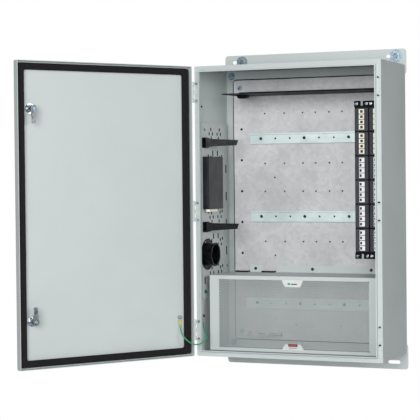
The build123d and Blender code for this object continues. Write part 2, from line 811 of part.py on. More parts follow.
def make_guard_labels():
    """Two blank label plates, wide at the guard's edge and narrower towards its middle."""
    labels = (
        (guard_top_z - 11.5, -1, 22.0),
        (guard_bottom_z + 8.0, 1, 19.0),
    )
    plates = []
    for wide_z, towards, height in labels:
        with BuildPart() as label:
            with BuildSketch(facing(0, guard_front_y, 0)):
                with BuildLine():
                    Polyline(
                        (-label_half_width, wide_z),
                        (label_half_width, wide_z),
                        (label_half_foot, wide_z + towards * height),
                        (-label_half_foot, wide_z + towards * height),
                        close=True,
                    )
                make_face()
            extrude(amount=label_sheet)
        plates.append(label.part)
    save(group(plates), "guard_labels")


# ---- side bracket and its fittings -----------------------------------------------------


def bracket_slots(centre_z):
    """Slot places of one group on the bracket: (setback, z, height)."""
    slots = [(setback, centre_z + 44.0, bracket_slot_height) for setback in (79.5, 150.0)]
    for setback in (67.0, 93.0, 131.5, 158.5):
        slots.append((setback, centre_z + 29.5, bracket_slot_height))
    for setback in (83.0, 141.5):
        slots.append((setback, centre_z + 15.5, bracket_slot_height))
    for setback in (94.0, 132.0):
        slots.append((setback, centre_z - 32.5, bracket_tall_slot))
    for setback in (58.0, 168.0):
        slots.append((setback, centre_z - 42.5, bracket_slot_height))
    return [slot for slot in slots if slot[1] > bracket_bottom_z + bracket_slot_height]


bracket_screw_places = (
    (bracket_front_y + 26.0, bracket_top_z - 23.0),
    (bracket_back_y - 14.0, bracket_top_z - 24.0),
    (bracket_back_y - 14.0, bracket_bottom_z + 28.0),
    (bracket_front_y + strip_width / 2, strip_bottom_z + 25.0),
)


def make_side_bracket():
    centre_z = (bracket_top_z + bracket_bottom_z) / 2
    centre_y = (bracket_front_y + bracket_back_y) / 2
    with BuildPart() as side_bracket:
        with BuildSketch(inward(bracket_outer, 0, 0)):
            with Locations((centre_y, centre_z)):
                RectangleRounded(
                    bracket_back_y - bracket_front_y, bracket_top_z - bracket_bottom_z, 6.0
                )
            with Locations(
                ((bracket_front_y + strip_back_y) / 2, (strip_bottom_z + bracket_bottom_z) / 2 + 8)
            ):
                RectangleRounded(strip_width, strip_height + 16, 6.0)
            slots = []
            for group_z in slot_group_heights:
                slots.extend(bracket_slots(group_z))
            for group_z in slot_group_heights[1:5]:
                back_z = group_z + bracket_back_slot_lift
                slots.append((bracket_back_slot_setback, back_z, bracket_back_slot_height))
            strip_slot_z = bracket_bottom_z - strip_slot_drop
            slots.append((strip_width / 2, strip_slot_z, strip_slot_height))
            for setback, z, height in slots:
                with Locations((bracket_front_y + setback, z)):
                    RectangleRounded(
                        bracket_slot_width, height, bracket_slot_corner_r, mode=Mode.SUBTRACT
                    )
            with Locations(*bracket_screw_places):
                Circle(panel_screw_r + hole_clearance, mode=Mode.SUBTRACT)
        extrude(amount=bracket_sheet)
    save(side_bracket.part, "side_bracket")

    screws = []
    spacers = []
    for arm_z in arm_heights.values():
        seat = inward(bracket_face + arm_base_sheet, arm_screw_y, arm_z)
        screws.append(headed_screw(seat, 4.6, 2.8, panel_screw_r, arm_base_sheet))
    spool_seat = inward(bracket_face + spool_sheet, spool_y, spool_z)
    screws.append(headed_screw(spool_seat, 4.6, 2.8, panel_screw_r, spool_sheet))
    for y, z in bracket_screw_places:
        head_seat = inward(bracket_face, y, z)
        shank = bracket_gap + bracket_sheet
        screws.append(headed_screw(head_seat, 4.6, 2.8, panel_screw_r, shank))
        with BuildPart() as spacer:
            with BuildSketch(inward(-wall_inner, y, z)):
                Circle(6)
                Circle(panel_screw_r + 0.1, mode=Mode.SUBTRACT)
            extrude(amount=bracket_gap)
        spacers.append(spacer.part)
    save(group(screws), "bracket_screws")
    save(group(spacers), "bracket_spacers")


def make_cable_arm(name, centre_z):
    """Tapered arm standing at 45 degrees from its base, with a row of diamond pockets."""
    slant = cos(radians(45))
    arm_plane = Plane(
        origin=(bracket_face, arm_y, centre_z), x_dir=(slant, slant, 0), z_dir=(slant, -slant, 0)
    )
    neck_start = arm_standoff + 5.0
    neck_end = neck_start + arm_neck
    tip_start = arm_length - 6.0
    pocket_count = int((tip_start - neck_end) / arm_diamond_pitch)
    with BuildPart() as cable_arm:
        with BuildSketch(arm_plane.offset(-arm_thickness / 2)):
            with BuildLine():
                Polyline(
                    (arm_standoff, -arm_root_height / 2),
                    (neck_start, -arm_root_height / 2),
                    (neck_end, -arm_height / 2),
                    (tip_start, -arm_tip_height / 2),
                    (arm_length, arm_tip_height / 2),
                    (neck_end, arm_height / 2),
                    (neck_start, arm_root_height / 2),
                    (arm_standoff, arm_root_height / 2),
                    close=True,
                )
            make_face()
        extrude(amount=arm_thickness)
        with BuildSketch(arm_plane.offset(arm_thickness / 2)):
            for k in range(pocket_count):
                for row in (-1, 1):
                    with Locations((neck_end + (k + 0.5) * arm_diamond_pitch, row * arm_diamond * 1.2)):
                        RegularPolygon(arm_diamond, 4)
        extrude(amount=-arm_pocket, mode=Mode.SUBTRACT)
        with BuildSketch(inward(bracket_face, arm_y + 13.0, centre_z)):
            RectangleRounded(44, arm_root_height, 3.0)
        extrude(amount=arm_base_sheet)
        with Locations(inward(bracket_face + arm_base_sheet, arm_screw_y, centre_z)):
            Hole(panel_screw_r + pin_clearance, depth=arm_base_sheet)
    save(cable_arm.part, name)


def make_slack_spool():
    face = inward(bracket_face, spool_y, spool_z)
    with BuildPart() as slack_spool:
        with BuildSketch(face):
            Circle(spool_flange_r)
            with PolarLocations((spool_hub_r + spool_flange_r) / 2, 4, start_angle=20):
                SlotOverall(15, 5, rotation=90, mode=Mode.SUBTRACT)
        extrude(amount=spool_sheet)
        with BuildSketch(face):
            Circle(spool_hub_r)
        extrude(amount=spool_length)
        with BuildSketch(face.offset(spool_sheet)):
            Circle(spool_bore_r)
        extrude(amount=spool_length, mode=Mode.SUBTRACT)
        with BuildSketch(face.offset(spool_length - spool_sheet)):
            Circle(spool_front_r)
            Circle(spool_bore_r, mode=Mode.SUBTRACT)
            with PolarLocations(spool_front_r, 6):
                Rectangle(spool_front_rim * 2, 14, mode=Mode.SUBTRACT)
        extrude(amount=spool_sheet)
        with BuildSketch(face):
            Circle(panel_screw_r + 0.05)
        extrude(amount=spool_sheet, mode=Mode.SUBTRACT)
    save(slack_spool.part, "slack_spool")


def make_cassette():
    centre_y = cassette_front_y + cassette_depth / 2
    centre_z = cassette_bottom_z + cassette_height / 2
    base_thickness = cassette_thickness - cassette_lid
    with BuildPart() as cassette_base:
        with BuildSketch(inward(bracket_face, centre_y, centre_z)):
            RectangleRounded(cassette_depth, cassette_height, 3.0)
        extrude(amount=base_thickness)
        with BuildSketch(inward(bracket_face + 2, centre_y, centre_z)):
            RectangleRounded(cassette_depth - cassette_wall * 2, cassette_height - cassette_wall * 2, 2.0)
        extrude(amount=base_thickness, mode=Mode.SUBTRACT)
    save(cassette_base.part, "cassette_base")

    with BuildPart() as cassette_lid_part:
        with BuildSketch(inward(bracket_face + base_thickness, centre_y, centre_z)):
            RectangleRounded(cassette_depth, cassette_height, 3.0)
        extrude(amount=cassette_lid)
        lid_rim = cassette_lid_part.edges().group_by(Axis.X)[-1]
        fillet(lid_rim, 2.0)
        with BuildSketch(inward(bracket_face + base_thickness, centre_y, centre_z)):
            RectangleRounded(cassette_depth - cassette_wall * 2, cassette_height - cassette_wall * 2, 2.0)
        extrude(amount=cassette_lid - cassette_wall, mode=Mode.SUBTRACT)
    save(cassette_lid_part.part, "cassette_lid")

    adapters = []
    for k in range(4):
        adapter_y = cassette_front_y + adapter_inset + k * adapter_pitch
        with BuildPart() as adapter:
            with BuildSketch(
                inward(bracket_face + 8, adapter_y, cassette_bottom_z - adapter_height / 2)
            ):
                Rectangle(adapter_width, adapter_height)
            extrude(amount=adapter_depth)
        adapters.append(adapter.part)
    save(group(adapters), "cassette_adapters")


# ---- rack panels -----------------------------------------------------------------------


def make_rack_frame(side, centre_x):
    with BuildPart() as rack_frame:
        with BuildSketch(facing(centre_x, rack_face_y + rack_sheet, rack_centre_z)):
            RectangleRounded(rack_width, rack_length, 1.5)
            with GridLocations(0, rack_window_pitch, 1, 6):
                Rectangle(rack_window_width, rack_window_height, mode=Mode.SUBTRACT)
            with GridLocations(rack_hole_pitch, rack_screw_pitch, 2, 2):
                SlotOverall(9.5, 6.6, rotation=90, mode=Mode.SUBTRACT)
            with GridLocations(0, rack_length - rack_notch_depth, 1, 2):
                Rectangle(rack_notch_width, rack_notch_depth, mode=Mode.SUBTRACT)
        extrude(amount=rack_sheet)
        with BuildSketch(facing(centre_x, rack_face_y + rack_sheet, rack_centre_z)):
            with GridLocations(rack_width - 1.5, 0, 2, 1):
                Rectangle(1.5, rack_window_pitch * 6)
        extrude(amount=-14)
    save(rack_frame.part, f"rack_frame_{side}")


def make_rack_contents():
    """Faceplates fill the windows; blocks of ports sit in the faceplates."""
    faceplates = []
    copper_ports = []
    fibre_ports = []
    for centre_x in rack_centres.values():
        for index, z in enumerate(rack_windows):
            fibre = index >= 4
            plate_height = rack_window_height - faceplate_margin
            with BuildPart() as faceplate:
                with BuildSketch(facing(centre_x, rack_face_y + rack_sheet, z)):
                    Rectangle(rack_window_width - faceplate_margin, plate_height)
                extrude(amount=rack_sheet)
                with BuildSketch(facing(centre_x, rack_face_y, z)):
                    Rectangle(faceplate_width, plate_height)
                extrude(amount=faceplate_proud)
                with BuildSketch(facing(centre_x, rack_face_y + rack_sheet, z)):
                    with GridLocations(0, port_pitch, 1, port_count):
                        Rectangle(port_width + port_fit * 2, port_height + port_fit * 2)
                extrude(amount=rack_sheet + faceplate_proud, mode=Mode.SUBTRACT)
            faceplates.append(faceplate.part)
            mouth_x = centre_x if fibre else centre_x - port_width / 2 + port_mouth_inset
            mouth_width = 8.0 if fibre else 6.4
            for k in range(port_count):
                port_z = z + (k - (port_count - 1) / 2) * port_pitch
                with BuildPart() as port:
                    with BuildSketch(facing(centre_x, rack_face_y + port_depth - 2.0, port_z)):
                        Rectangle(port_width, port_height)
                    extrude(amount=port_depth)
                    with BuildSketch(facing(mouth_x, rack_face_y - 2.0, port_z)):
                        Rectangle(mouth_width, 8.0)
                    extrude(amount=-port_mouth_depth, mode=Mode.SUBTRACT)
                (fibre_ports if fibre else copper_ports).append(port.part)
    save(group(faceplates), "rack_faceplates")
    save(group(copper_ports), "copper_ports")
    save(group(fibre_ports), "fibre_ports")


def make_rack_brackets():
    """A Z-shaped bracket at each end holds both rack panels off the subpanel."""
    span_left = rack_left_x - 2
    span_right = rack_left_x + rack_width * 2 + rack_gap + 2
    middle_x = (span_left + span_right) / 2
    span = span_right - span_left
    front = rack_face_y + rack_sheet
    foot_right = panel_width / 2 - 2
    foot_width = foot_right - span_left
    for name, end in (("rack_bracket_top", 1), ("rack_bracket_bottom", -1)):
        screw_z = rack_centre_z + end * rack_screw_pitch / 2
        inner_z = screw_z - end * 9.0
        web_z = inner_z if end > 0 else inner_z - rack_sheet
        with BuildPart() as rack_bracket:
            with BuildSketch(facing(middle_x, front, screw_z)):
                Rectangle(span, 18.0)
                for centre_x in rack_centres.values():
                    with Locations((centre_x - middle_x, 0)):
                        with GridLocations(rack_hole_pitch, 0, 2, 1):
                            Circle(panel_screw_r + 0.1, mode=Mode.SUBTRACT)
                        with Locations((0, end * rack_notch_lift)):
                            Rectangle(rack_notch_width, rack_notch_depth, mode=Mode.SUBTRACT)
            extrude(amount=-rack_sheet)
            with BuildSketch(Plane.XY.offset(web_z)):
                with Locations(((span_left + foot_right) / 2, (front + panel_front) / 2)):
                    Rectangle(foot_width, panel_front - front)
            extrude(amount=rack_sheet)
            with BuildSketch(facing((span_left + foot_right) / 2, panel_front, inner_z + end * 10)):
                Rectangle(foot_width, 20.0)
                Circle(panel_screw_r + hole_clearance, mode=Mode.SUBTRACT)
            extrude(amount=rack_sheet)
        save(rack_bracket.part, name)
    screws = []
    for end in (-1, 1):
        screw_z = rack_centre_z + end * rack_screw_pitch / 2
        for centre_x in rack_centres.values():
            for side in (-1, 1):
                seat = facing(centre_x + side * rack_hole_pitch / 2, rack_face_y, screw_z)
                shank = rack_sheet * 2 + screw_grip
                screws.append(
                    headed_screw(seat, rack_screw_head_r, rack_screw_head, panel_screw_r, shank)
                )
        foot_seat = facing((span_left + foot_right) / 2, panel_front - rack_sheet, screw_z + end)
        screws.append(
            headed_screw(foot_seat, rack_screw_head_r, rack_screw_head, panel_screw_r, rack_sheet)
        )
    save(group(screws), "rack_screws")


# ---- shelf --------------- --------------------------------------------------------------


def make_shelf():
    depth = panel_front - shelf_front_y
    with BuildPart() as top_shelf:
        with BuildSketch(Plane.XY.offset(shelf_z)):
            with Locations((0, shelf_front_y + depth / 2)):
                Rectangle(shelf_width, depth)
        extrude(amount=shelf_sheet)
        front_corners = top_shelf.edges().filter_by(Axis.Z).group_by(Axis.Y)[0]
        fillet(front_corners, 14.0)
        with BuildSketch(facing(0, panel_front, shelf_z + shelf_flange / 2)):
            Rectangle(shelf_width, shelf_flange)
        extrude(amount=shelf_sheet)
        with Locations(facing(0, panel_front - shelf_sheet, shelf_screw_z)):
            with Locations(*[(x, 0) for x in shelf_screw_places]):
                Hole(panel_screw_r + hole_clearance, depth=shelf_sheet)
    save(top_shelf.part, "top_shelf")
    with BuildPart() as shelf_cable_clip:
        with BuildSketch(facing(45 - shelf_width / 2, panel_front - 70, shelf_z)):
            with BuildLine():
                Polyline((-17, 0), (17, 0), (17, -6))
                RadiusArc((17, -6), (9, -11), 9)
                Line((9, -11), (-9, -11))
                RadiusArc((-9, -11), (-17, -6), 9)
                Line((-17, -6), (-17, 0))
            make_face()
        extrude(amount=20)
    save(shelf_cable_clip.part, "shelf_cable_clip")


# ---- earthing --------------------------------------------------------------------------


def make_earth_bar():
    bar_back = panel_front - bar_standoff
    with BuildPart() as earth_bar:
        with BuildSketch(facing(bar_centre_x, bar_back, bar_z)):
            Rectangle(bar_length, bar_section)
        extrude(amount=bar_section)
        with Locations(facing(bar_centre_x, bar_back - bar_section, bar_z)):
            with GridLocations(bar_hole_pitch, 0, bar_screw_count, 1):
                Hole(1.9, depth=bar_section)
    save(earth_bar.part, "earth_bar")
    screws = []
    for k in range(bar_screw_count):
        x = bar_centre_x + (k - (bar_screw_count - 1) / 2) * bar_hole_pitch
        seat = facing(x, bar_back - bar_section, bar_z)
        screws.append(headed_screw(seat, 3.4, 3.0, 1.8, bar_section - 1))
    save(group(screws), "earth_bar_screws")
    standoffs = []
    for x in (bar_centre_x - bar_length / 2 + 5, bar_centre_x + bar_length / 2 - 5):
        with BuildPart() as standoff:
            with BuildSketch(facing(x, panel_front, bar_z)):
                Rectangle(9, bar_section + 2)
            extrude(amount=bar_standoff)
        standoffs.append(standoff.part)
    save(group(standoffs), "earth_bar_standoffs")


def terminal(plane, barrel_length):
    """Ring terminal lying on a plane, its crimp barrel towards local -Y."""
    with BuildPart() as ring_terminal:
        with BuildSketch(plane):
            Circle(5.6)
            with Locations((0, -7)):
                Rectangle(5.2, 8)
            Circle(earth_stud_r + 0.1, mode=Mode.SUBTRACT)
        extrude(amount=1.0)
        tail = Plane(
            origin=plane.from_local_coords(Vector(0, -10, wire_r + 0.8)),
            x_dir=plane.x_dir,
            z_dir=plane.y_dir * -1,
        )
        with BuildSketch(tail):
            Circle(wire_r + 0.8)
        extrude(amount=barrel_length)
        with BuildSketch(tail.offset(barrel_length)):
            Circle(wire_r)
        extrude(amount=-(barrel_length - 1.5), mode=Mode.SUBTRACT)
    return ring_terminal.part


barrel_length = 14.0
frame_terminal_plane = inward(-wall_inner + 2.5, frame_earth_y, earth_stud_z)
door_terminal_plane = Plane(
    origin=(door_earth_x, door_skin + 2.5, earth_stud_z), x_dir=(-1, 0, 0), z_dir=(0, 1, 0)
)


def make_earthing():
    frame_wall = inward(-wall_inner, frame_earth_y, earth_stud_z)
    spare_wall = inward(-wall_inner, frame_earth_y + 15, -earth_stud_z)
    frame_stud = rod(frame_wall, earth_stud_r, earth_stud_length)
    spare_stud = rod(spare_wall, earth_stud_r, spare_stud_length)
    save(group([frame_stud, spare_stud]), "frame_studs")
    seat_nut = flange_nut(frame_wall, 5.5, 10.0, 2.5, earth_stud_r + 0.05)
    top_nut = flange_nut(frame_wall.offset(3.5), 5.5, 10.0, 5.0, earth_stud_r + 0.05)
    save(group([seat_nut, top_nut]), "frame_earth_nuts")
    save(terminal(frame_terminal_plane, barrel_length), "frame_ring_terminal")

    door_wall = Plane(
        origin=(door_earth_x, door_skin, earth_stud_z), x_dir=(-1, 0, 0), z_dir=(0, 1, 0)
    )
    save_on_door(rod(door_wall, earth_stud_r, earth_stud_length), "door_stud")
    door_seat_nut = flange_nut(door_wall, 5.5, 10.0, 2.5, earth_stud_r + 0.05)
    door_top_nut = flange_nut(door_wall.offset(3.5), 5.5, 10.0, 5.0, earth_stud_r + 0.05)
    save_on_door(group([door_seat_nut, door_top_nut]), "door_earth_nuts")
    save_on_door(terminal(door_terminal_plane, barrel_length), "door_ring_terminal")


def make_earth_wire():
    """Bonding lead between the two ring terminals, as straight runs and tangent arcs."""
    frame_end = frame_terminal_plane.from_local_coords(Vector(0, -11.5, wire_r + 0.8))
    frame_out = frame_terminal_plane.from_local_coords(Vector(0, -34, wire_r + 0.8))
    swing = radians(-door_open_angle)
    door_points = []
    for reach in (-11.5, -34):
        p = door_terminal_plane.from_local_coords(Vector(0, reach, wire_r + 0.8))
        dx = p.X - hinge_x
        dy = p.Y - hinge_y
        turned_x = hinge_x + dx * cos(swing) - dy * sin(swing)
        turned_y = hinge_y + dx * sin(swing) + dy * cos(swing)
        door_points.append((turned_x, turned_y, p.Z))
    route = [
        door_points[0],
        door_points[1],
        (-333.0, -316.5, -388.0),
        (-317.5, -313.5, -406.0),
        (-299.5, -300.0, -419.0),
        (-281.5, -286.5, -416.0),
        (-269.5, -272.5, -402.0),
        (-276.5, -256.5, -386.5),
        (frame_out.X, frame_out.Y, frame_out.Z),
        (frame_end.X, frame_end.Y, frame_end.Z),
    ]
    points = [Vector(*point) for point in route]
    runs = [points[k + 1] - points[k] for k in range(len(points) - 1)]
    radii = []
    for k in range(len(runs) - 1):
        turn = radians(runs[k].get_angle(runs[k + 1]))
        shorter = min(runs[k].length, runs[k + 1].length)
        radii.append(0.45 * shorter / tan(turn / 2))
    print("earth wire runs", [round(run.length, 1) for run in runs])
    print("earth wire radii", [round(radius, 1) for radius in radii])
    path = FilletPolyline(*points, radius=radii)
    with BuildPart() as earth_wire:
        with BuildSketch(Plane(origin=path @ 0, z_dir=path % 0)):
            Circle(wire_r)
        sweep(path=path)
    expected = pi * wire_r**2 * path.length
    print("earth wire length", round(path.length, 1), "volume share", earth_wire.part.volume / expected)
    save(earth_wire.part, "earth_wire")


os.makedirs("parts", exist_ok=True)
make_enclosure_body()
make_mounting_foot()
make_foot_fasteners()
make_subpanel()
make_subpanel_fasteners()
make_rail("din_rail_upper", 0, upper_rail_z)
make_rail("din_rail_middle", 0, middle_rail_z)
make_rail("din_rail_lower", lower_rail_x, lower_rail_z)
make_panel_screws()
make_door()
make_hinge_leaves()
make_hinge_fasteners()
for latch_station, latch_height in latch_heights.items():
    make_latch(latch_station, latch_height)
make_latch_nuts()
make_power_guard()
make_guard_labels()
make_side_bracket()
for arm_station, arm_height_z in arm_heights.items():
    make_cable_arm(f"cable_arm_{arm_station}", arm_height_z)
make_slack_spool()
make_cassette()
for rack_side, rack_centre_x in rack_centres.items():
    make_rack_frame(rack_side, rack_centre_x)
make_rack_contents()
make_rack_brackets()
make_shelf()
make_earth_bar()
make_earthing()
make_earth_wire()
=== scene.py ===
"""Looks for the wall enclosure: its finishes, the pieces that only show, the light and the camera.

Lengths are in metres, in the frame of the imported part: +X right, +Y into the wall, +Z up.
"""

import logging
import math
from dataclasses import dataclass, field, replace
from enum import Enum
from functools import reduce

import bmesh
import bpy
import numpy as np
from mathutils import Matrix, Vector


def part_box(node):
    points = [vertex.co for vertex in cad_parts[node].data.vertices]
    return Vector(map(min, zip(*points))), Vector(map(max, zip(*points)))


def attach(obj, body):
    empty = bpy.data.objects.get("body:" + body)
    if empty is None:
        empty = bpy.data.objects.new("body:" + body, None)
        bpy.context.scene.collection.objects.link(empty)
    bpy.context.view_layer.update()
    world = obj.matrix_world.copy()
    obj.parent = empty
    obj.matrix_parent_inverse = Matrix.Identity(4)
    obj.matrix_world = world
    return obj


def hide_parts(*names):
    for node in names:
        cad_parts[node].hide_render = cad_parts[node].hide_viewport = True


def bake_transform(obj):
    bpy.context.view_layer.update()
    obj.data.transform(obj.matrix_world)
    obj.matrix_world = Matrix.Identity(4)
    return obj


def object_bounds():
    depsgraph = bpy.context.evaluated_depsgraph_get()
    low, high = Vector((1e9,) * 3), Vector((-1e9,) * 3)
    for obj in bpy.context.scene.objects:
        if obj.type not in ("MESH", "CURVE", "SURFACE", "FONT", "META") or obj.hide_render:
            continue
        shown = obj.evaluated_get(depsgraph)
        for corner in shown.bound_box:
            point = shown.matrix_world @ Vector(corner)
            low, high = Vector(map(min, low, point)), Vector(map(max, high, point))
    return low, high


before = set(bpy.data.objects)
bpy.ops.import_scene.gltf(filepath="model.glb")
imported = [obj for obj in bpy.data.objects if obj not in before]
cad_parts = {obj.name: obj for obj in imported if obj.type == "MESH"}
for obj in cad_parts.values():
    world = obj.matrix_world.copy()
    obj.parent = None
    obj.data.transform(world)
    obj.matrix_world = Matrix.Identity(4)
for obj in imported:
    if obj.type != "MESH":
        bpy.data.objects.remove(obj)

CAD_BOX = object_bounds()
LOG = logging.getLogger("enclosure")

Colour = tuple[float, float, float]
Point = tuple[float, float, float]
Socket = bpy.types.NodeSocket
Inputs = dict[str | int, object]
Materials = dict[str, bpy.types.Material]

ENCLOSURE = "enclosure"


# ---- shader node groups ---------------------------------------------------------------

PATCH_EDGES = (0.34, 0.66)
SCRATCH_EDGES = (0.52, 0.72)
FINE_GRAIN_RATIO = 4.3
FINE_GRAIN_SHARE = 0.25
CRYSTAL_BEND_SCALE = 45.0
CRYSTAL_BEND = 0.016
SCRATCH_SHARE = 0.6
COAT_ROUGHNESS = 0.25


class SocketKind(Enum):
    """Kinds of socket on a shader node group."""

    NUMBER = "NodeSocketFloat"
    COLOUR = "NodeSocketColor"
    VECTOR = "NodeSocketVector"


class Tree:
    """A node tree with short calls to add and join its nodes."""

    def __init__(self, nodes: bpy.types.NodeTree) -> None:
        """Keep the tree that the nodes go into.

        Args:
            nodes: the material's, world's or group's node tree.
        """
        self.nodes = nodes

    def add(
        self, kind: str, inputs: Inputs | None = None, **settings: object
    ) -> bpy.types.Node:
        """Add one node.

        Args:
            kind: the node's type name.
            inputs: values or sockets for its inputs, by name or index.
            settings: the node's own properties.

        Returns:
            The new node.
        """
        node = self.nodes.nodes.new(kind)
        for key, value in settings.items():
            setattr(node, key, value)
        for key, value in (inputs or {}).items():
            if isinstance(value, Socket):
                self.nodes.links.new(value, node.inputs[key])
            else:
                node.inputs[key].default_value = value
        return node

    def use(self, group: bpy.types.NodeTree, inputs: Inputs) -> bpy.types.Node:
        """Place a shared node group with its own values."""
        return self.add("ShaderNodeGroup", inputs, node_tree=group)

    def mix(self, share: object, first: object, second: object) -> Socket:
        """Blend two colours.

        Args:
            share: how much of the second colour shows, from 0 to 1.
            first: first colour or socket.
            second: second colour or socket.

        Returns:
            The blended colour's socket.
        """
        inputs = {0: share, 6: first, 7: second}
        return self.add("ShaderNodeMix", inputs, data_type="RGBA").outputs[2]

    def math(
        self, operation: str, first: object, second: object = 0.0, third: object = 0.0
    ) -> Socket:
        """Add a Math node and give its result.

        Args:
            operation: the operation's name.
            first: first number or socket.
            second: second number or socket.
            third: third number or socket.

        Returns:
            The result's socket.
        """
        values = {0: first, 1: second, 2: third}
        return self.add("ShaderNodeMath", values, operation=operation).outputs[0]


def new_group(
    name: str, inputs: dict[str, SocketKind], outputs: dict[str, SocketKind]
) -> tuple[Tree, bpy.types.Node, bpy.types.Node]:
    """Start a shader node group with named sockets.

    Args:
        name: the group's name.
        inputs: its input sockets.
        outputs: its output sockets.

    Returns:
        The group's tree, its input node and its output node.
    """
    group = bpy.data.node_groups.new(name, "ShaderNodeTree")
    for label, kind in inputs.items():
        group.interface.new_socket(name=label, in_out="INPUT", socket_type=kind.value)
    for label, kind in outputs.items():
        group.interface.new_socket(name=label, in_out="OUTPUT", socket_type=kind.value)
    tree = Tree(group)
    return tree, tree.add("NodeGroupInput"), tree.add("NodeGroupOutput")


def make_patches_group() -> bpy.types.NodeTree:
    """Soft patches between two colours: a fractal noise, stretched about its middle.

    Returns:
        The group, with inputs Place, Scale, Dark, Light and outputs Colour, Mask.
    """
    tree, given, result = new_group(
        "Patches",
        {
            "Place": SocketKind.VECTOR,
            "Scale": SocketKind.NUMBER,
            "Dark": SocketKind.COLOUR,
            "Light": SocketKind.COLOUR,
        },
        {"Colour": SocketKind.COLOUR, "Mask": SocketKind.NUMBER},
    )
    noise = tree.add(
        "ShaderNodeTexNoise",
        {"Vector": given.outputs["Place"], "Scale": given.outputs["Scale"], "Detail": 4.0, "Roughness": 0.55},
    )
    mask = tree.add(
        "ShaderNodeMapRange",
        {"Value": noise.outputs["Fac"], "From Min": PATCH_EDGES[0], "From Max": PATCH_EDGES[1]},
        interpolation_type="SMOOTHSTEP",
    )
    mixed = tree.mix(mask.outputs[0], given.outputs["Dark"], given.outputs["Light"])
    tree.nodes.links.new(mixed, result.inputs["Colour"])
    tree.nodes.links.new(mask.outputs[0], result.inputs["Mask"])
    return tree.nodes


def make_peel_group() -> bpy.types.NodeTree:
    """Orange peel of a sprayed or moulded skin: round bumps with finer grain on them.

    Returns:
        The group, with inputs Place, Scale and output Height, from 0 to 1.
    """
    tree, given, result = new_group(
        "Peel",
        {"Place": SocketKind.VECTOR, "Scale": SocketKind.NUMBER},
        {"Height": SocketKind.NUMBER},
    )
    bumps = tree.add(
        "ShaderNodeTexNoise",
        {"Vector": given.outputs["Place"], "Scale": given.outputs["Scale"], "Detail": 1.0},
    )
    fine_scale = tree.math("MULTIPLY", given.outputs["Scale"], FINE_GRAIN_RATIO)
    fine = tree.add(
        "ShaderNodeTexNoise", {"Vector": given.outputs["Place"], "Scale": fine_scale, "Detail": 2.0}
    )
    share = tree.math("MULTIPLY", fine.outputs["Fac"], FINE_GRAIN_SHARE)
    height = tree.math("MULTIPLY_ADD", bumps.outputs["Fac"], 1.0 - FINE_GRAIN_SHARE, share)
    tree.nodes.links.new(height, result.inputs["Height"])
    return tree.nodes


def make_scratch_group() -> bpy.types.NodeTree:
    """Fine handling scratches: a noise drawn out along one direction, with only its peaks kept.

    Returns:
        The group, with inputs Place, Stretch, Scale and output Mask, from 0 to 1.
    """
    tree, given, result = new_group(
        "Scratches",
        {"Place": SocketKind.VECTOR, "Stretch": SocketKind.VECTOR, "Scale": SocketKind.NUMBER},
        {"Mask": SocketKind.NUMBER},
    )
    drawn = tree.add(
        "ShaderNodeVectorMath",
        {0: given.outputs["Place"], 1: given.outputs["Stretch"]},
        operation="MULTIPLY",
    )
    noise = tree.add(
        "ShaderNodeTexNoise",
        {"Vector": drawn.outputs[0], "Scale": given.outputs["Scale"], "Detail": 6.0, "Roughness": 0.7},
    )
    mask = tree.add(
        "ShaderNodeMapRange",
        {"Value": noise.outputs["Fac"], "From Min": SCRATCH_EDGES[0], "From Max": SCRATCH_EDGES[1]},
        interpolation_type="SMOOTHSTEP",
    )
    tree.nodes.links.new(mask.outputs[0], result.inputs["Mask"])
    return tree.nodes


def make_spangle_group() -> bpy.types.NodeTree:
    """Zinc crystals: cells whose random brightness is spread about one.

    Returns:
        The group, with inputs Place, Scale, Spread and outputs Shade, Edge.
    """
    tree, given, result = new_group(
        "Spangle",
        {"Place": SocketKind.VECTOR, "Scale": SocketKind.NUMBER, "Spread": SocketKind.NUMBER},
        {"Shade": SocketKind.NUMBER, "Edge": SocketKind.NUMBER},
    )
    bent = tree.add(
        "ShaderNodeTexNoise", {"Vector": given.outputs["Place"], "Scale": CRYSTAL_BEND_SCALE, "Detail": 2.0}
    )
    push = tree.add(
        "ShaderNodeVectorMath", {0: bent.outputs["Color"], 3: CRYSTAL_BEND}, operation="SCALE"
    )
    moved = tree.add(
        "ShaderNodeVectorMath", {0: given.outputs["Place"], 1: push.outputs[0]}, operation="ADD"
    )
    cells = tree.add(
        "ShaderNodeTexVoronoi", {"Vector": moved.outputs[0], "Scale": given.outputs["Scale"]}
    )
    parts = tree.add("ShaderNodeSeparateColor", {0: cells.outputs["Color"]})
    centred = tree.math("SUBTRACT", parts.outputs[0], 0.5)
    shade = tree.math("MULTIPLY_ADD", centred, given.outputs["Spread"], 1.0)
    tree.nodes.links.new(shade, result.inputs["Shade"])
    tree.nodes.links.new(cells.outputs["Distance"], result.inputs["Edge"])
    return tree.nodes


PATCHES = make_patches_group()
PEEL = make_peel_group()
SCRATCHES = make_scratch_group()
SPANGLE = make_spangle_group()


# ---- finishes --------------------------------------------------------------------------


@dataclass(frozen=True)
class PaintedRecessShade:
    """Painted shade: a dark colour on whatever lies behind a flat-faced node's face, such as the walls of its
    openings.

    Face is 0 for the low side of the node's box along the axis and 1 for its high side.
    """

    node: str
    axis: int
    face: int
    colour: Colour
    depth: float = 0.0003

    def shade(self, tree: Tree, place: Socket, colour: Socket) -> Socket:
        """Paint the shade colour wherever the surface lies more than depth behind the node's face.

        Args:
            tree: the material's tree.
            place: coordinates on the piece.
            colour: the colour of the face.

        Returns:
            The colour of face and openings together.
        """
        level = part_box(self.node)[self.face][self.axis]
        along = tree.add("ShaderNodeSeparateXYZ", {0: place}).outputs[self.axis]
        behind = tree.math("ABSOLUTE", tree.math("SUBTRACT", along, level))
        deep = tree.math("GREATER_THAN", behind, self.depth)
        return tree.mix(deep, colour, (*self.colour, 1.0))


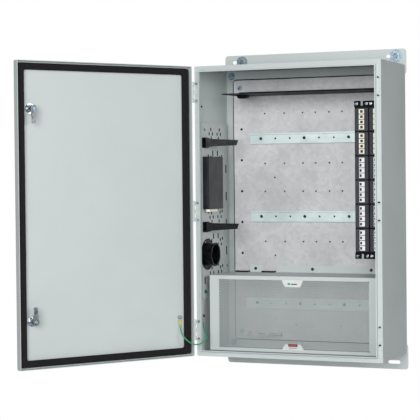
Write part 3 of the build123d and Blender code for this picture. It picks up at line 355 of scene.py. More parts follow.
@dataclass(frozen=True)
class Finish:
    """A skin with soft colour patches and a fine grain.

    Scales are in features per metre, and grain_height is in metres.
    """

    name: str
    light: Colour
    dark: Colour
    patch_scale: float
    grain_scale: float
    grain_height: float
    smooth: float
    rough: float
    metallic: float = 0.0
    specular: float = 0.5
    coat: float = 0.0
    # Painted shade for whatever lies behind the face, where one is given.
    painted_recess_shade: PaintedRecessShade | None = None

    def build(self) -> bpy.types.Material:
        """Make the material.

        Returns:
            The finished material.
        """
        material = bpy.data.materials.new(self.name)
        material.use_nodes = True
        material.diffuse_color = (*self.light, 1.0)
        tree = Tree(material.node_tree)
        tree.nodes.nodes.clear()
        place = tree.add("ShaderNodeTexCoord").outputs["Object"]
        colour, mask = self.colour(tree, place)
        # Paint the shade colour into the openings.
        if self.painted_recess_shade:
            colour = self.painted_recess_shade.shade(tree, place, colour)
        roughness = tree.add(
            "ShaderNodeMapRange", {"Value": mask, "To Min": self.smooth, "To Max": self.rough}
        )
        bump = tree.add(
            "ShaderNodeBump",
            {"Height": self.height(tree, place), "Distance": self.grain_height, "Strength": 1.0},
        )
        shader = tree.add(
            "ShaderNodeBsdfPrincipled",
            {
                "Base Color": colour,
                "Roughness": roughness.outputs[0],
                "Metallic": self.metallic,
                "Specular IOR Level": self.specular,
                "Coat Weight": self.coat,
                "Coat Roughness": COAT_ROUGHNESS,
                "Normal": bump.outputs[0],
            },
        )
        tree.add("ShaderNodeOutputMaterial", {"Surface": shader.outputs[0]})
        return material

    def colour(self, tree: Tree, place: Socket) -> tuple[Socket, Socket]:
        """Colour over the surface.

        Args:
            tree: the material's tree.
            place: coordinates on the piece.

        Returns:
            The colour and the mask that the roughness follows.
        """
        patches = tree.use(
            PATCHES,
            {
                "Place": place,
                "Scale": self.patch_scale,
                "Dark": (*self.dark, 1.0),
                "Light": (*self.light, 1.0),
            },
        )
        return patches.outputs["Colour"], patches.outputs["Mask"]

    def height(self, tree: Tree, place: Socket) -> Socket:
        """Height of the grain over the surface.

        Args:
            tree: the material's tree.
            place: coordinates on the piece.

        Returns:
            The height, from 0 to 1.
        """
        return tree.use(PEEL, {"Place": place, "Scale": self.grain_scale}).outputs["Height"]


@dataclass(frozen=True)
class PlatedFinish(Finish):
    """Bright plating with fine scratches that dull it a little."""

    stretch: Point = (1.0, 6.0, 6.0)

    def colour(self, tree: Tree, place: Socket) -> tuple[Socket, Socket]:
        """Plating tint between its two colours, duller along the scratches.

        Args:
            tree: the material's tree.
            place: coordinates on the piece.

        Returns:
            The colour and the scratch mask.
        """
        tint, patches = super().colour(tree, place)
        scratches = tree.use(
            SCRATCHES, {"Place": place, "Stretch": self.stretch, "Scale": self.grain_scale}
        ).outputs["Mask"]
        kept = tree.math("MULTIPLY", patches, 1.0 - SCRATCH_SHARE)
        mixed = tree.math("MULTIPLY_ADD", scratches, SCRATCH_SHARE, kept)
        return tint, mixed


@dataclass(frozen=True)
class SpangledFinish(Finish):
    """Galvanised sheet: broad cloudy patches under crystals of zinc."""

    crystal_scale: float = 90.0
    crystal_spread: float = 0.12

    def colour(self, tree: Tree, place: Socket) -> tuple[Socket, Socket]:
        """Cloudy colour times the shade of each crystal.

        Args:
            tree: the material's tree.
            place: coordinates on the piece.

        Returns:
            The colour and the mask of the clouds.
        """
        clouds, mask = super().colour(tree, place)
        shade = tree.use(
            SPANGLE, {"Place": place, "Scale": self.crystal_scale, "Spread": self.crystal_spread}
        ).outputs["Shade"]
        both = tree.add("ShaderNodeVectorMath", {0: clouds, 3: shade}, operation="SCALE")
        return both.outputs[0], mask


@dataclass(frozen=True)
class StripedFinish(Finish):
    """Extruded insulation with one stripe that winds slowly round it."""

    stripe: Colour = (0.72, 0.62, 0.05)
    turns_per_metre: float = 3.0
    stripe_share: float = 0.12

    def colour(self, tree: Tree, place: Socket) -> tuple[Socket, Socket]:
        """Stripe where the angle round the wire plus its winding is under the stripe's share.

        Args:
            tree: the material's tree.
            place: coordinates on the piece.

        Returns:
            The colour and the patch mask.
        """
        base, mask = super().colour(tree, place)
        uv = tree.add("ShaderNodeUVMap", uv_map="run")
        parts = tree.add("ShaderNodeSeparateXYZ", {0: uv.outputs[0]})
        wound = tree.math("MULTIPLY_ADD", parts.outputs[0], self.turns_per_metre, parts.outputs[1])
        inside = tree.math("LESS_THAN", tree.math("FRACT", wound), self.stripe_share)
        return tree.mix(inside, base, (*self.stripe, 1.0)), mask


@dataclass(frozen=True)
class Mark:
    """A plain inked rectangle on an upright plate, from its middle and its half sizes."""

    x: float
    z: float
    half_width: float
    half_height: float
    ink: Colour


@dataclass(frozen=True)
class PlateFinish(Finish):
    """Plain printed label plates: blank bars where print would be."""

    marks: tuple[Mark, ...] = ()

    def colour(self, tree: Tree, place: Socket) -> tuple[Socket, Socket]:
        """Ink wherever a place is within a mark's half width and half height of its middle.

        Args:
            tree: the material's tree.
            place: coordinates on the piece.

        Returns:
            The colour and the patch mask.
        """
        base, mask = super().colour(tree, place)
        parts = tree.add("ShaderNodeSeparateXYZ", {0: place})
        for mark in self.marks:
            across = tree.math("COMPARE", parts.outputs[0], mark.x, mark.half_width)
            up = tree.math("COMPARE", parts.outputs[2], mark.z, mark.half_height)
            inked = tree.math("MULTIPLY", across, up)
            base = tree.mix(inked, base, (*mark.ink, 1.0))
        return base, mask


LABEL_LOW, LABEL_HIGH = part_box("guard_labels")
LABEL_MIDDLE = (LABEL_LOW.x + LABEL_HIGH.x) / 2

CABINET_PAINT = Finish(
    "cabinet_paint", (0.55, 0.605, 0.6), (0.53, 0.585, 0.58), 5.0, 850.0, 2.2e-5, 0.4, 0.5
)
GUARD_PAINT = Finish(
    "guard_paint", (0.56, 0.61, 0.605), (0.54, 0.59, 0.585), 6.0, 850.0, 2.2e-5, 0.42, 0.52
)
GASKET_FOAM = Finish(
    "gasket_foam", (0.014, 0.014, 0.015), (0.008, 0.008, 0.009), 90.0, 1400.0, 2.5e-4, 0.75, 0.95,
    specular=0.2,
)
# Galvanised sheet. The subpanel's hole walls and edges behind its front face take a painted black shade.
GALVANISED = SpangledFinish(
    "galvanised_sheet", (0.625, 0.628, 0.642), (0.522, 0.527, 0.54), 6.0, 260.0, 1.2e-5, 0.42, 0.58,
    metallic=0.25, painted_recess_shade=PaintedRecessShade("subpanel", 1, 0, (0.01, 0.01, 0.01)),
)
# The side bracket's slot walls and edges behind its face take a painted black shade.
BRACKET_PAINT = Finish(
    "bracket_paint", (0.56, 0.605, 0.6), (0.54, 0.585, 0.58), 6.0, 850.0, 2.2e-5, 0.42, 0.52,
    painted_recess_shade=PaintedRecessShade("side_bracket", 0, 1, (0.006, 0.006, 0.007)),
)
# The guard paint, with painted shade on the walls of the holes in its front.
GUARD_SCREEN_HOLE_SHADE = replace(
    GUARD_PAINT, name="guard_screen_hole_shade", painted_recess_shade=PaintedRecessShade("power_guard", 1, 0, (0.02, 0.021, 0.021))
)
RAIL_PLATE = PlatedFinish(
    "rail_plate", (0.8, 0.91, 0.91), (0.7, 0.82, 0.82), 14.0, 240.0, 8.0e-6, 0.3, 0.4, metallic=0.45
)
ZINC_PLATE = PlatedFinish(
    "zinc_plate", (0.43, 0.55, 0.63), (0.14, 0.23, 0.31), 210.0, 700.0, 2.0e-5, 0.3, 0.5, metallic=0.6
)
LATCH_PLATE = PlatedFinish(
    "latch_plate", (0.62, 0.68, 0.72), (0.42, 0.48, 0.53), 70.0, 500.0, 1.5e-5, 0.16, 0.34,
    metallic=0.95,
)
CAM_PLATE = PlatedFinish(
    "cam_plate", (0.31, 0.34, 0.34), (0.09, 0.12, 0.14), 95.0, 500.0, 1.5e-5, 0.38, 0.55, metallic=0.6
)
HINGE_PAINT = Finish(
    "hinge_paint", (0.6, 0.64, 0.63), (0.53, 0.58, 0.57), 80.0, 850.0, 2.2e-5, 0.36, 0.48
)
BLACK_SCREW = PlatedFinish(
    "black_screw", (0.03, 0.03, 0.034), (0.015, 0.015, 0.018), 120.0, 700.0, 1.5e-5, 0.3, 0.45,
    metallic=0.4,
)
BLACK_PAINT = Finish(
    "black_paint", (0.007, 0.007, 0.008), (0.004, 0.004, 0.005), 12.0, 900.0, 2.0e-5, 0.45, 0.6,
    specular=0.07,
)
BLACK_NYLON = Finish(
    "black_nylon", (0.005, 0.005, 0.006), (0.003, 0.003, 0.0035), 40.0, 1500.0, 3.0e-5, 0.35, 0.5,
    specular=0.16,
)
GLOSSY_NYLON = Finish(
    "glossy_nylon", (0.006, 0.007, 0.008), (0.003, 0.0035, 0.004), 60.0, 1500.0, 1.0e-5, 0.2, 0.34,
    specular=0.14,
)
# The lid's sides, more than 2.4 mm behind its face, take a painted bluish-black shade.
GREY_LID = Finish(
    "grey_lid", (0.047, 0.047, 0.049), (0.036, 0.036, 0.038), 25.0, 1500.0, 4.0e-5, 0.42, 0.58,
    specular=0.35, painted_recess_shade=PaintedRecessShade("cassette_lid", 0, 1, (0.012, 0.015, 0.02), 0.0024),
)
CASSETTE_BASE = Finish(
    "cassette_base", (0.012, 0.015, 0.02), (0.008, 0.01, 0.014), 25.0, 1500.0, 4.0e-5, 0.3, 0.45,
    specular=0.4,
)
# The faceplates' openings and edges behind their front face take a painted black shade.
SLATE_PLATES = Finish(
    "slate_plates", (0.055, 0.06, 0.072), (0.04, 0.044, 0.055), 30.0, 1500.0, 3.0e-5, 0.45, 0.6,
    specular=0.2, painted_recess_shade=PaintedRecessShade("rack_faceplates", 1, 0, (0.004, 0.004, 0.005)),
)
# The fibre ports' openings behind their front face take a painted brown-black shade.
IVORY_PORTS = Finish(
    "ivory_ports", (0.95, 0.91, 0.78), (0.85, 0.8, 0.66), 60.0, 1500.0, 2.0e-5, 0.4, 0.55,
    painted_recess_shade=PaintedRecessShade("fibre_ports", 1, 0, (0.07, 0.045, 0.015)),
)
ADAPTER_IVORY = Finish(
    "adapter_ivory", (0.95, 0.93, 0.85), (0.88, 0.84, 0.72), 60.0, 1500.0, 2.0e-5, 0.4, 0.55
)
# The copper ports' openings behind their front face take a painted black shade.
WHITE_PORTS = Finish(
    "white_ports", (0.93, 0.93, 0.94), (0.86, 0.86, 0.87), 30.0, 1500.0, 2.0e-5, 0.35, 0.5,
    painted_recess_shade=PaintedRecessShade("copper_ports", 1, 0, (0.008, 0.008, 0.009)),
)
PALE_CAP = Finish(
    "pale_cap", (0.62, 0.68, 0.68), (0.54, 0.6, 0.6), 90.0, 1500.0, 1.5e-5, 0.4, 0.55
)
LABEL_PLATES = PlateFinish(
    "label_plates",
    (0.7, 0.73, 0.72),
    (0.66, 0.69, 0.68),
    40.0,
    1200.0,
    1.0e-5,
    0.35,
    0.5,
    marks=(
        Mark(LABEL_MIDDLE - 0.0115, LABEL_HIGH.z - 0.0120, 0.0045, 0.0035, (0.04, 0.36, 0.2)),
        Mark(LABEL_MIDDLE + 0.0055, LABEL_HIGH.z - 0.0125, 0.0095, 0.0018, (0.03, 0.035, 0.035)),
        Mark(LABEL_MIDDLE, LABEL_LOW.z + 0.0150, 0.0155, 0.0042, (0.03, 0.025, 0.03)),
        Mark(LABEL_MIDDLE, LABEL_LOW.z + 0.0150, 0.0120, 0.0021, (0.6, 0.06, 0.07)),
        Mark(LABEL_MIDDLE, LABEL_LOW.z + 0.0065, 0.0130, 0.0009, (0.12, 0.13, 0.14)),
    ),
)
WIRE_SKIN = StripedFinish(
    "wire_skin", (0.0, 0.31, 0.185), (0.0, 0.27, 0.16), 120.0, 1500.0, 1.0e-5, 0.35, 0.5, specular=0.2
)
GREEN_SCREW = Finish(
    "green_screw", (0.0, 0.16, 0.08), (0.0, 0.1, 0.05), 200.0, 1200.0, 1.5e-5, 0.3, 0.42
)
TINNED = PlatedFinish(
    "tinned_copper", (0.74, 0.72, 0.68), (0.6, 0.57, 0.52), 50.0, 600.0, 1.5e-5, 0.22, 0.4,
    metallic=0.95,
)
YELLOW_SLEEVE = Finish(
    "yellow_sleeve", (0.66, 0.6, 0.06), (0.56, 0.5, 0.04), 90.0, 1200.0, 1.5e-5, 0.35, 0.5
)
FLOOR_PAINT = Finish(
    "floor_paint", (0.8, 0.8, 0.79), (0.77, 0.77, 0.765), 1.5, 60.0, 1.0e-4, 0.75, 0.9
)

NODE_FINISHES: dict[str, tuple[str, ...]] = {
    "cabinet_paint": ("enclosure_body", "mounting_foot_top", "mounting_foot_bottom", "door_panel"),
    "guard_paint": ("power_guard",),
    "gasket_foam": ("door_gasket",),
    "galvanised_sheet": ("subpanel",),
    "black_paint": (
        "top_shelf",
        "rack_frame_left",
        "rack_frame_right",
        "rack_bracket_top",
        "rack_bracket_bottom",
    ),
    "black_nylon": ("shelf_cable_clip", "earth_bar_standoffs"),
    "glossy_nylon": ("cable_arm_upper", "cable_arm_lower", "slack_spool"),
    "cassette_base": ("cassette_base",),
    "grey_lid": ("cassette_lid",),
    "ivory_ports": ("fibre_ports",),
    "adapter_ivory": ("cassette_adapters",),
    "slate_plates": ("rack_faceplates",),
    "white_ports": ("copper_ports",),
    "rail_plate": ("din_rail_upper", "din_rail_middle", "din_rail_lower"),
    "hinge_paint": ("hinge_frame_leaves", "hinge_door_leaves", "hinge_pins"),
    "black_screw": ("panel_screws", "frame_studs"),
    "bracket_paint": ("side_bracket",),
    "label_plates": ("guard_labels",),
    "tinned_copper": ("earth_bar", "earth_bar_screws", "frame_ring_terminal"),
    "yellow_sleeve": ("door_ring_terminal",),
    "latch_plate": (
        "rack_screws",
        "latch_barrel_upper",
        "latch_barrel_lower",
        "latch_spindle_upper",
        "latch_spindle_lower",
        "latch_nuts",
    ),
    "cam_plate": ("latch_cam_upper", "latch_cam_lower"),
}
ALL_FINISHES: tuple[Finish, ...] = (
    CABINET_PAINT, GUARD_PAINT, GUARD_SCREEN_HOLE_SHADE, BRACKET_PAINT, GASKET_FOAM, GALVANISED,
    RAIL_PLATE, ZINC_PLATE, LATCH_PLATE, CAM_PLATE, HINGE_PAINT, BLACK_SCREW, BLACK_PAINT,
    BLACK_NYLON, GLOSSY_NYLON, GREY_LID, CASSETTE_BASE, IVORY_PORTS, ADAPTER_IVORY, PALE_CAP,
    SLATE_PLATES, WHITE_PORTS, LABEL_PLATES, WIRE_SKIN, GREEN_SCREW, TINNED, YELLOW_SLEEVE,
    FLOOR_PAINT,
)


def dress_cad_nodes(materials: Materials) -> None:
    """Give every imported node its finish; whatever is not named is zinc plated.

    Args:
        materials: the finished materials by name.
    """
    finish_of = {node: finish for finish, nodes in NODE_FINISHES.items() for node in nodes}
    for name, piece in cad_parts.items():
        material = materials[finish_of.get(name, "zinc_plate")]
        piece.data.materials.clear()
        piece.data.materials.append(material)
        LOG.info("%s wears %s", name, material.name)


# ---- surfaces ----------------------------------------------------------------------------

WELD_DISTANCE = 1e-5
SHARP_ANGLE = 35.0


@dataclass
class Surface:
    """Vertices and faces of a mesh before it is put into Blender."""

    vertices: np.ndarray
    faces: list[list[int]]

    def joined(self, other: "Surface") -> "Surface":
        """Both surfaces as one.

        Args:
            other: the surface to add.

        Returns:
            The joined surface.
        """
        shift = len(self.vertices)
        moved = [[index + shift for index in face] for face in other.faces]
        return Surface(np.vstack([self.vertices, other.vertices]), self.faces + moved)


def block(low: Point, high: Point) -> Surface:
    """Box between two corners: each vertex takes its low or high value on each axis.

    Args:
        low: lowest corner.
        high: highest corner.

    Returns:
        The box's six faces, pointing outwards.
    """
    picks = np.array([[x, y, z] for x in (0, 1) for y in (0, 1) for z in (0, 1)])
    corners = np.where(picks == 0, np.array(low), np.array(high))
    faces = [[0, 1, 3, 2], [4, 6, 7, 5], [0, 4, 5, 1], [2, 3, 7, 6], [0, 2, 6, 4], [1, 5, 7, 3]]
    return Surface(corners, faces)


def prism(outline: np.ndarray, rise: Point) -> Surface:
    """A flat outline carried along a straight rise, closed at both ends.

    Args:
        outline: the points round the outline, anticlockwise seen from the rise's far end.
        rise: how far and which way it is carried.

    Returns:
        The prism's surface.
    """
    count = len(outline)
    vertices = np.vstack([outline, outline + np.array(rise)])
    steps = np.arange(count)
    ahead = (steps + 1) % count
    sides = np.stack([steps, ahead, ahead + count, steps + count], axis=1).tolist()
    return Surface(vertices, sides + [steps[::-1].tolist(), (steps + count).tolist()])


def ring_faces(rings: int, around: int) -> list[list[int]]:
    """Faces between each ring of points and the next, and one face to close each end.

    Args:
        rings: number of rings, one after another in the vertices.
        around: points in each ring.

    Returns:
        The faces, pointing outwards where a ring runs anticlockwise about the way ahead.
    """
    rows, columns = np.meshgrid(np.arange(rings - 1), np.arange(around), indexing="ij")
    start = rows * around + columns
    beside = rows * around + (columns + 1) % around
    sides = np.stack([start, beside, beside + around, start + around], axis=-1).reshape(-1, 4)
    last = (rings - 1) * around + np.arange(around)
    return sides.tolist() + [np.arange(around)[::-1].tolist(), last.tolist()]


def turned(profile: np.ndarray, centre: Point, axis: Point, segments: int) -> Surface:
    """A profile of radius and height turned round an axis and closed at both ends.

    Each vertex is the centre plus its height along the axis plus its radius times the cosine
    and sine of its angle along two directions square to the axis.

    Args:
        profile: rows of (radius, height), from one end to the other.
        centre: where height is zero.
        axis: unit direction of the height.
        segments: steps round the axis.

    Returns:
        The turned surface.
    """
    along = np.array(axis, float)
    first = np.cross(along, (0.0, 0.0, 1.0) if abs(along[2]) < 0.9 else (1.0, 0.0, 0.0))
    first = first / np.linalg.norm(first)
    second = np.cross(along, first)
    angles = np.linspace(0.0, 2.0 * math.pi, segments, endpoint=False)
    ring = np.cos(angles)[:, None] * first + np.sin(angles)[:, None] * second
    grid = (
        np.array(centre)
        + profile[:, 1][:, None, None] * along
        + profile[:, 0][:, None, None] * ring[None, :, :]
    )
    return Surface(grid.reshape(-1, 3), ring_faces(len(profile), segments))


def piece(
    name: str,
    surface: Surface,
    material: bpy.types.Material,
    slot: str,
    body: str | None = ENCLOSURE,
    weld: bool = False,
) -> bpy.types.Object:
    """Put a surface into the scene as a named piece.

    Args:
        name: the piece's name.
        surface: its vertices and faces, in the shared frame.
        material: its finish.
        slot: a record's material slot name; not used.
        body: the body that it rides on, or None for a piece left on no body.
        weld: whether vertices that meet are merged.

    Returns:
        The new object.
    """
    mesh = bpy.data.meshes.new(name)
    mesh.from_pydata(surface.vertices.tolist(), [], surface.faces)
    if weld:
        work = bmesh.new()
        work.from_mesh(mesh)
        bmesh.ops.remove_doubles(work, verts=work.verts, dist=WELD_DISTANCE)
        work.to_mesh(mesh)
        work.free()
    mesh.materials.append(material)
    mesh.update()
    made = bpy.data.objects.new(name, mesh)
    bpy.context.scene.collection.objects.link(made)
    if body is not None:
        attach(made, body)
    LOG.info("%s: %d faces", name, len(mesh.polygons))
    return made


# ---- power guard ---------------------------------------------------------------------------


@dataclass
class PowerGuard:
    """The perforated cover over the lower rail, with its bent edges."""

    sheet: float = 0.0015
    hole_radius: float = 0.00245
    pitch: float = 0.0058
    columns: int = 86
    rows: int = 43
    top_margin: float = 0.012
    return_depth: float = 0.012
    flange_height: float = 0.023
    notch_width: float = 0.043
    notch_depth: float = 0.022
    notch_centres: tuple[float, float] = (0.0415, 0.1325)
    flange_start: float = 0.154
    edging_rise: float = 0.0048
    edging_lap: float = 0.002
    low: Vector = field(default_factory=lambda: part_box("power_guard")[0])
    high: Vector = field(default_factory=lambda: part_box("power_guard")[1])

    def build(self, materials: Materials) -> None:
        """Make the perforated front and the bent edges behind it.

        Args:
            materials: the finished materials by name.
        """
        # The front's hole walls wear painted shade.
        front = piece(
            "guard_front", self.front(), materials["guard_screen_hole_shade"], "guard_paint", weld=True
        )
        wall = front.modifiers.new("wall", "SOLIDIFY")
        wall.thickness = self.sheet
        wall.offset = -1.0
        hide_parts("power_guard")
        piece("guard_edges", self.edges(), materials["guard_paint"], "guard_paint")
        piece("entry_edging", self.entry_edging(), materials["black_nylon"], "black_plastic")

    def front(self) -> Surface:
        """Staggered rows of cells, each a ring between an eight-sided hole and its own rectangle.

        Odd rows are half a pitch along, so a corner of one row meets a mid-edge of the next, and
        plain strips fill their ends and the margin round the field.

        Returns:
            The front face as one flat sheet, facing the front.
        """
        row_height = self.pitch * math.sqrt(0.75)
        top = self.high.z - self.flange_height
        left = -self.columns * self.pitch / 2
        bottom = top - self.top_margin - self.rows * row_height
        angles = np.arange(8) * math.pi / 4
        inner = np.stack([np.cos(angles), np.sin(angles)], axis=1) * self.hole_radius
        outer = np.sign(np.round(np.stack([np.cos(angles), np.sin(angles)], axis=1), 6))
        outer = outer * np.array([self.pitch / 2, row_height / 2])
        row, column = np.meshgrid(np.arange(self.rows), np.arange(self.columns), indexing="ij")
        odd = row % 2
        used = ~((odd == 1) & (column == self.columns - 1))
        centre_x = (left + (column + 0.5 + 0.5 * odd) * self.pitch)[used]
        centre_z = (bottom + (row + 0.5) * row_height)[used]
        centres = np.stack([centre_x, centre_z], axis=1)
        rings = np.concatenate([centres[:, None] + inner, centres[:, None] + outer], axis=1)
        step = np.arange(8)
        ahead = (step + 1) % 8
        cell = np.stack([step, step + 8, ahead + 8, ahead], axis=1)
        cells = (np.arange(len(centres))[:, None, None] * 16 + cell).reshape(-1, 4)
        flat = rings.reshape(-1, 2)
        surface = Surface(self.stand(flat), cells.tolist())
        across = left + np.arange(self.columns * 2 + 1) * self.pitch / 2
        up = bottom + np.arange(self.rows * 2 + 1) * row_height / 2
        odd_halves = np.isin(np.arange(self.rows * 2) % 4, (2, 3))
        ends = np.zeros((len(up) + 1, len(across) + 1), bool)
        ends[1:-1, 1] = odd_halves
        ends[1:-1, -2] = odd_halves
        ends[0, :] = ends[-1, :] = True
        ends[:, 0] = ends[:, -1] = True
        across = np.concatenate([[self.low.x], across, [self.high.x]])
        up = np.concatenate([[self.low.z], up, [top]])
        return surface.joined(self.strips(across, up, ends))

    def strips(self, across: np.ndarray, up: np.ndarray, wanted: np.ndarray) -> Surface:
        """The wanted rectangles of a grid of lines.

        Args:
            across: places of the upright lines.
            up: heights of the level lines.
            wanted: which rectangle of the grid is filled, by row and column.

        Returns:
            The filled rectangles.
        """
        x, z = np.meshgrid(across, up)
        flat = np.stack([x.ravel(), z.ravel()], axis=1)
        row, column = np.nonzero(wanted)
        start = row * len(across) + column
        faces = np.stack([start, start + 1, start + 1 + len(across), start + len(across)], axis=1)
        return Surface(self.stand(flat), faces.tolist())

    def stand(self, flat: np.ndarray) -> np.ndarray:
        """Points of the front's plane, at the guard's front face.

        Args:
            flat: rows of (x, z).

        Returns:
            The same points as (x, y, z).
        """
        depth = np.full(len(flat), self.low.y)
        return np.stack([flat[:, 0], depth, flat[:, 1]], axis=1)

    def entry_edging(self) -> Surface:
        """Rubber edging round the three sides of each cable entry in the top.

        Returns:
            The edging of both entries.
        """
        top = self.high.z - self.flange_height
        low, high = top - self.sheet - self.edging_lap, top + self.edging_rise
        back = self.high.y - self.sheet
        inner = self.high.y - self.notch_depth
        surfaces = []
        for centre in self.notch_centres:
            left = self.low.x + centre - self.notch_width / 2
            right = left + self.notch_width
            front = inner + self.sheet
            surfaces.append(block((left, inner - self.sheet, low), (right, front, high)))
            for start in (left, right - self.sheet):
                surfaces.append(block((start, front, low), (start + self.sheet, back, high)))
        return reduce(Surface.joined, surfaces)

    def edges(self) -> Surface:
        """Top with its two notches, rear flange, side returns and bottom return.

        Returns:
            The bent edges as closed plates.
        """
        left, right = self.low.x, self.high.x
        front, back = self.low.y + self.sheet, self.high.y
        top = self.high.z - self.flange_height
        outline = [(left, front), (right, front), (right, back)]
        for centre in reversed(self.notch_centres):
            for side, inset in ((0.5, 0.0), (0.5, 1.0), (-0.5, 1.0), (-0.5, 0.0)):
                outline.append(
                    (left + centre + side * self.notch_width, back - inset * self.notch_depth)
                )
        outline.append((left, back))
        flat = np.array([(x, y, top - self.sheet) for x, y in outline])
        surfaces = [prism(flat, (0.0, 0.0, self.sheet))]
        between = (
            left + self.notch_centres[0] + self.notch_width / 2,
            left + self.notch_centres[1] - self.notch_width / 2,
        )
        for start, end in (between, (left + self.flange_start, right)):
            surfaces.append(block((start, back - self.sheet, top), (end, back, self.high.z)))
        deep = front + self.return_depth
        low, high = self.low.z + self.sheet, top - self.sheet
        surfaces.append(block((left, front, self.low.z), (right, deep, low)))
        for start in (left, right - self.sheet):
            surfaces.append(block((start, front, low), (start + self.sheet, deep, high)))
        return reduce(Surface.joined, surfaces)


# ---- wall bolts and small fixings ------------------------------------------------------------


@dataclass
class WallBolts:
    """The two wall bolts with their big washers, each some way along its slot."""

    washer_radius: float = 0.019
    washer_sheet: float = 0.002
    washer_rim: float = 0.0003
    head_radius: float = 0.0085
    head_height: float = 0.0055
    head_rim: float = 0.001
    head_crown: float = 0.88
    places: tuple[tuple[str, float], ...] = (("left", -0.2485), ("right", 0.2755))
    slot_z: float = 0.485
    segments: int = 48

    def build(self, materials: Materials) -> None:
        """Make a washer and a hexagon bolt head at each upper slot.

        Args:
            materials: the finished materials by name.
        """
        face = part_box("mounting_foot_top")[0].y
        forward = (0.0, -1.0, 0.0)
        radius, sheet, rim = self.washer_radius, self.washer_sheet, self.washer_rim
        washer = np.array([(radius, 0.0), (radius, sheet - rim), (radius - rim, sheet)])
        radius, height = self.head_radius, self.head_height
        crown = radius * self.head_crown
        head = np.array([(radius, 0.0), (radius, height - self.head_rim), (crown, height)])
        for label, slot_x in self.places:
            disc = turned(washer, (slot_x, face, self.slot_z), forward, self.segments)
            made = piece(f"wall_washer_{label}", disc, materials["zinc_plate"], "zinc_plate")
            smooth_round(made)
            bolt = turned(head, (slot_x, face - sheet, self.slot_z), forward, 6)
            piece(f"wall_bolt_{label}", bolt, materials["latch_plate"], "zinc_plate")


def smooth_round(target: bpy.types.Object) -> None:
    """Smooth the shading of a turned piece, with its sharp rims kept.

    Args:
        target: the piece.
    """
    target.data.polygons.foreach_set("use_smooth", np.ones(len(target.data.polygons), bool))
    work = bmesh.new()
    work.from_mesh(target.data)
    limit = math.radians(SHARP_ANGLE)
    for edge in work.edges:
        edge.smooth = len(edge.link_faces) == 2 and edge.calc_face_angle(0.0) < limit
    work.to_mesh(target.data)
    work.free()


@dataclass
class PanelShadeSheet:
    """Thin black sheet behind the subpanel that stands in for shade: a painted shadow line round it and
    painted shade through its holes.
    """

    sheet: float = 0.0005
    gap: float = 0.0003
    reach: float = 0.0036
    corner_radius: float = 0.012
    corner_steps: int = 6

    def build(self, materials: Materials) -> None:
        """Make the sheet, a little larger than the subpanel.

        Args:
            materials: the finished materials by name.
        """
        low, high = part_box("subpanel")
        radius = self.corner_radius
        turn = np.linspace(0.0, math.pi / 2, self.corner_steps)
        arc = np.stack([np.cos(turn), np.sin(turn)], axis=1) * radius
        half_x = high.x + self.reach - radius
        half_z = high.z + self.reach - radius
        quarters = []
        for sign_x, sign_z in ((1, 1), (-1, 1), (-1, -1), (1, -1)):
            corner = (arc + (half_x, half_z)) * (sign_x, sign_z)
            quarters.append(corner if sign_x * sign_z > 0 else corner[::-1])
        outline = np.concatenate(quarters)
        depth = np.full(len(outline), high.y + self.gap)
        flat = np.stack([outline[:, 0], depth, outline[:, 1]], axis=1)
        sheet = prism(flat, (0.0, self.sheet, 0.0))
        # The black sheet stands in for the shade round and behind the subpanel.
        piece("panel_shade_sheet", sheet, materials["black_paint"], "black_paint")


@dataclass
class SmallFittings:
    """Small round parts: lid marks, a pale cap, a small screw and plugs in the unused hinge holes."""

    mark_radius: float = 0.0024
    mark_height: float = 0.0006
    marks: tuple[tuple[float, float], ...] = ((-0.167, 0.136), (-0.142, 0.136))
    cap_radius: float = 0.0085
    cap_height: float = 0.0015
    cap: tuple[float, float] = (-0.089, -0.408)
    screw_radius: float = 0.0032
    screw: tuple[float, float] = (-0.24, -0.391)
    plug_radius: float = 0.0026
    plug_height: float = 0.0004
    shoulder: float = 0.6
    crown: float = 0.86
    hinge_pitch: float = 0.375
    hinge_screw_pitch: float = 0.0542
    segments: int = 24

    def build(self, materials: Materials) -> None:
        """Make each part as a flat button with a bevelled rim.

        Args:
            materials: the finished materials by name.
        """
        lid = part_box("cassette_lid")[1].x
        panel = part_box("subpanel")[0].y
        for index, (y, z) in enumerate(self.marks):
            button = self.button(self.mark_radius, self.mark_height, (lid, y, z), (1.0, 0.0, 0.0))
            name = f"cassette_mark_{index + 1}"
            piece(name, button, materials["black_screw"], "black_plastic")
        for name, (x, z), radius, finish, slot in (
            ("panel_cap", self.cap, self.cap_radius, "pale_cap", "white_plastic"),
            ("panel_small_screw", self.screw, self.screw_radius, "zinc_plate", "zinc_plate"),
        ):
            button = self.button(radius, self.cap_height, (x, panel, z), (0.0, -1.0, 0.0))
            piece(name, button, materials[finish], slot)
        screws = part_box("hinge_frame_screws")
        band = -(screws[0].x + screws[1].x) / 2
        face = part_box("enclosure_body")[0].y
        for index in range(6):
            z = (index // 2 - 1) * self.hinge_pitch + (index % 2 - 0.5) * self.hinge_screw_pitch
            seat = (band, face, z)
            plug = self.button(self.plug_radius, self.plug_height, seat, (0.0, -1.0, 0.0))
            piece(f"band_plug_{index + 1}", plug, materials["black_nylon"], "black_plastic")

    def button(self, radius: float, height: float, seat: Point, axis: Point) -> Surface:
        """A round button standing on its seat.

        Args:
            radius: radius at the seat.
            height: height above the seat.
            seat: middle of its seat.
            axis: direction it stands in.

        Returns:
            The button's surface.
        """
        shoulder, crown = height * self.shoulder, radius * self.crown
        profile = np.array([(radius, 0.0), (radius, shoulder), (crown, height)])
        return turned(profile, seat, axis, self.segments)


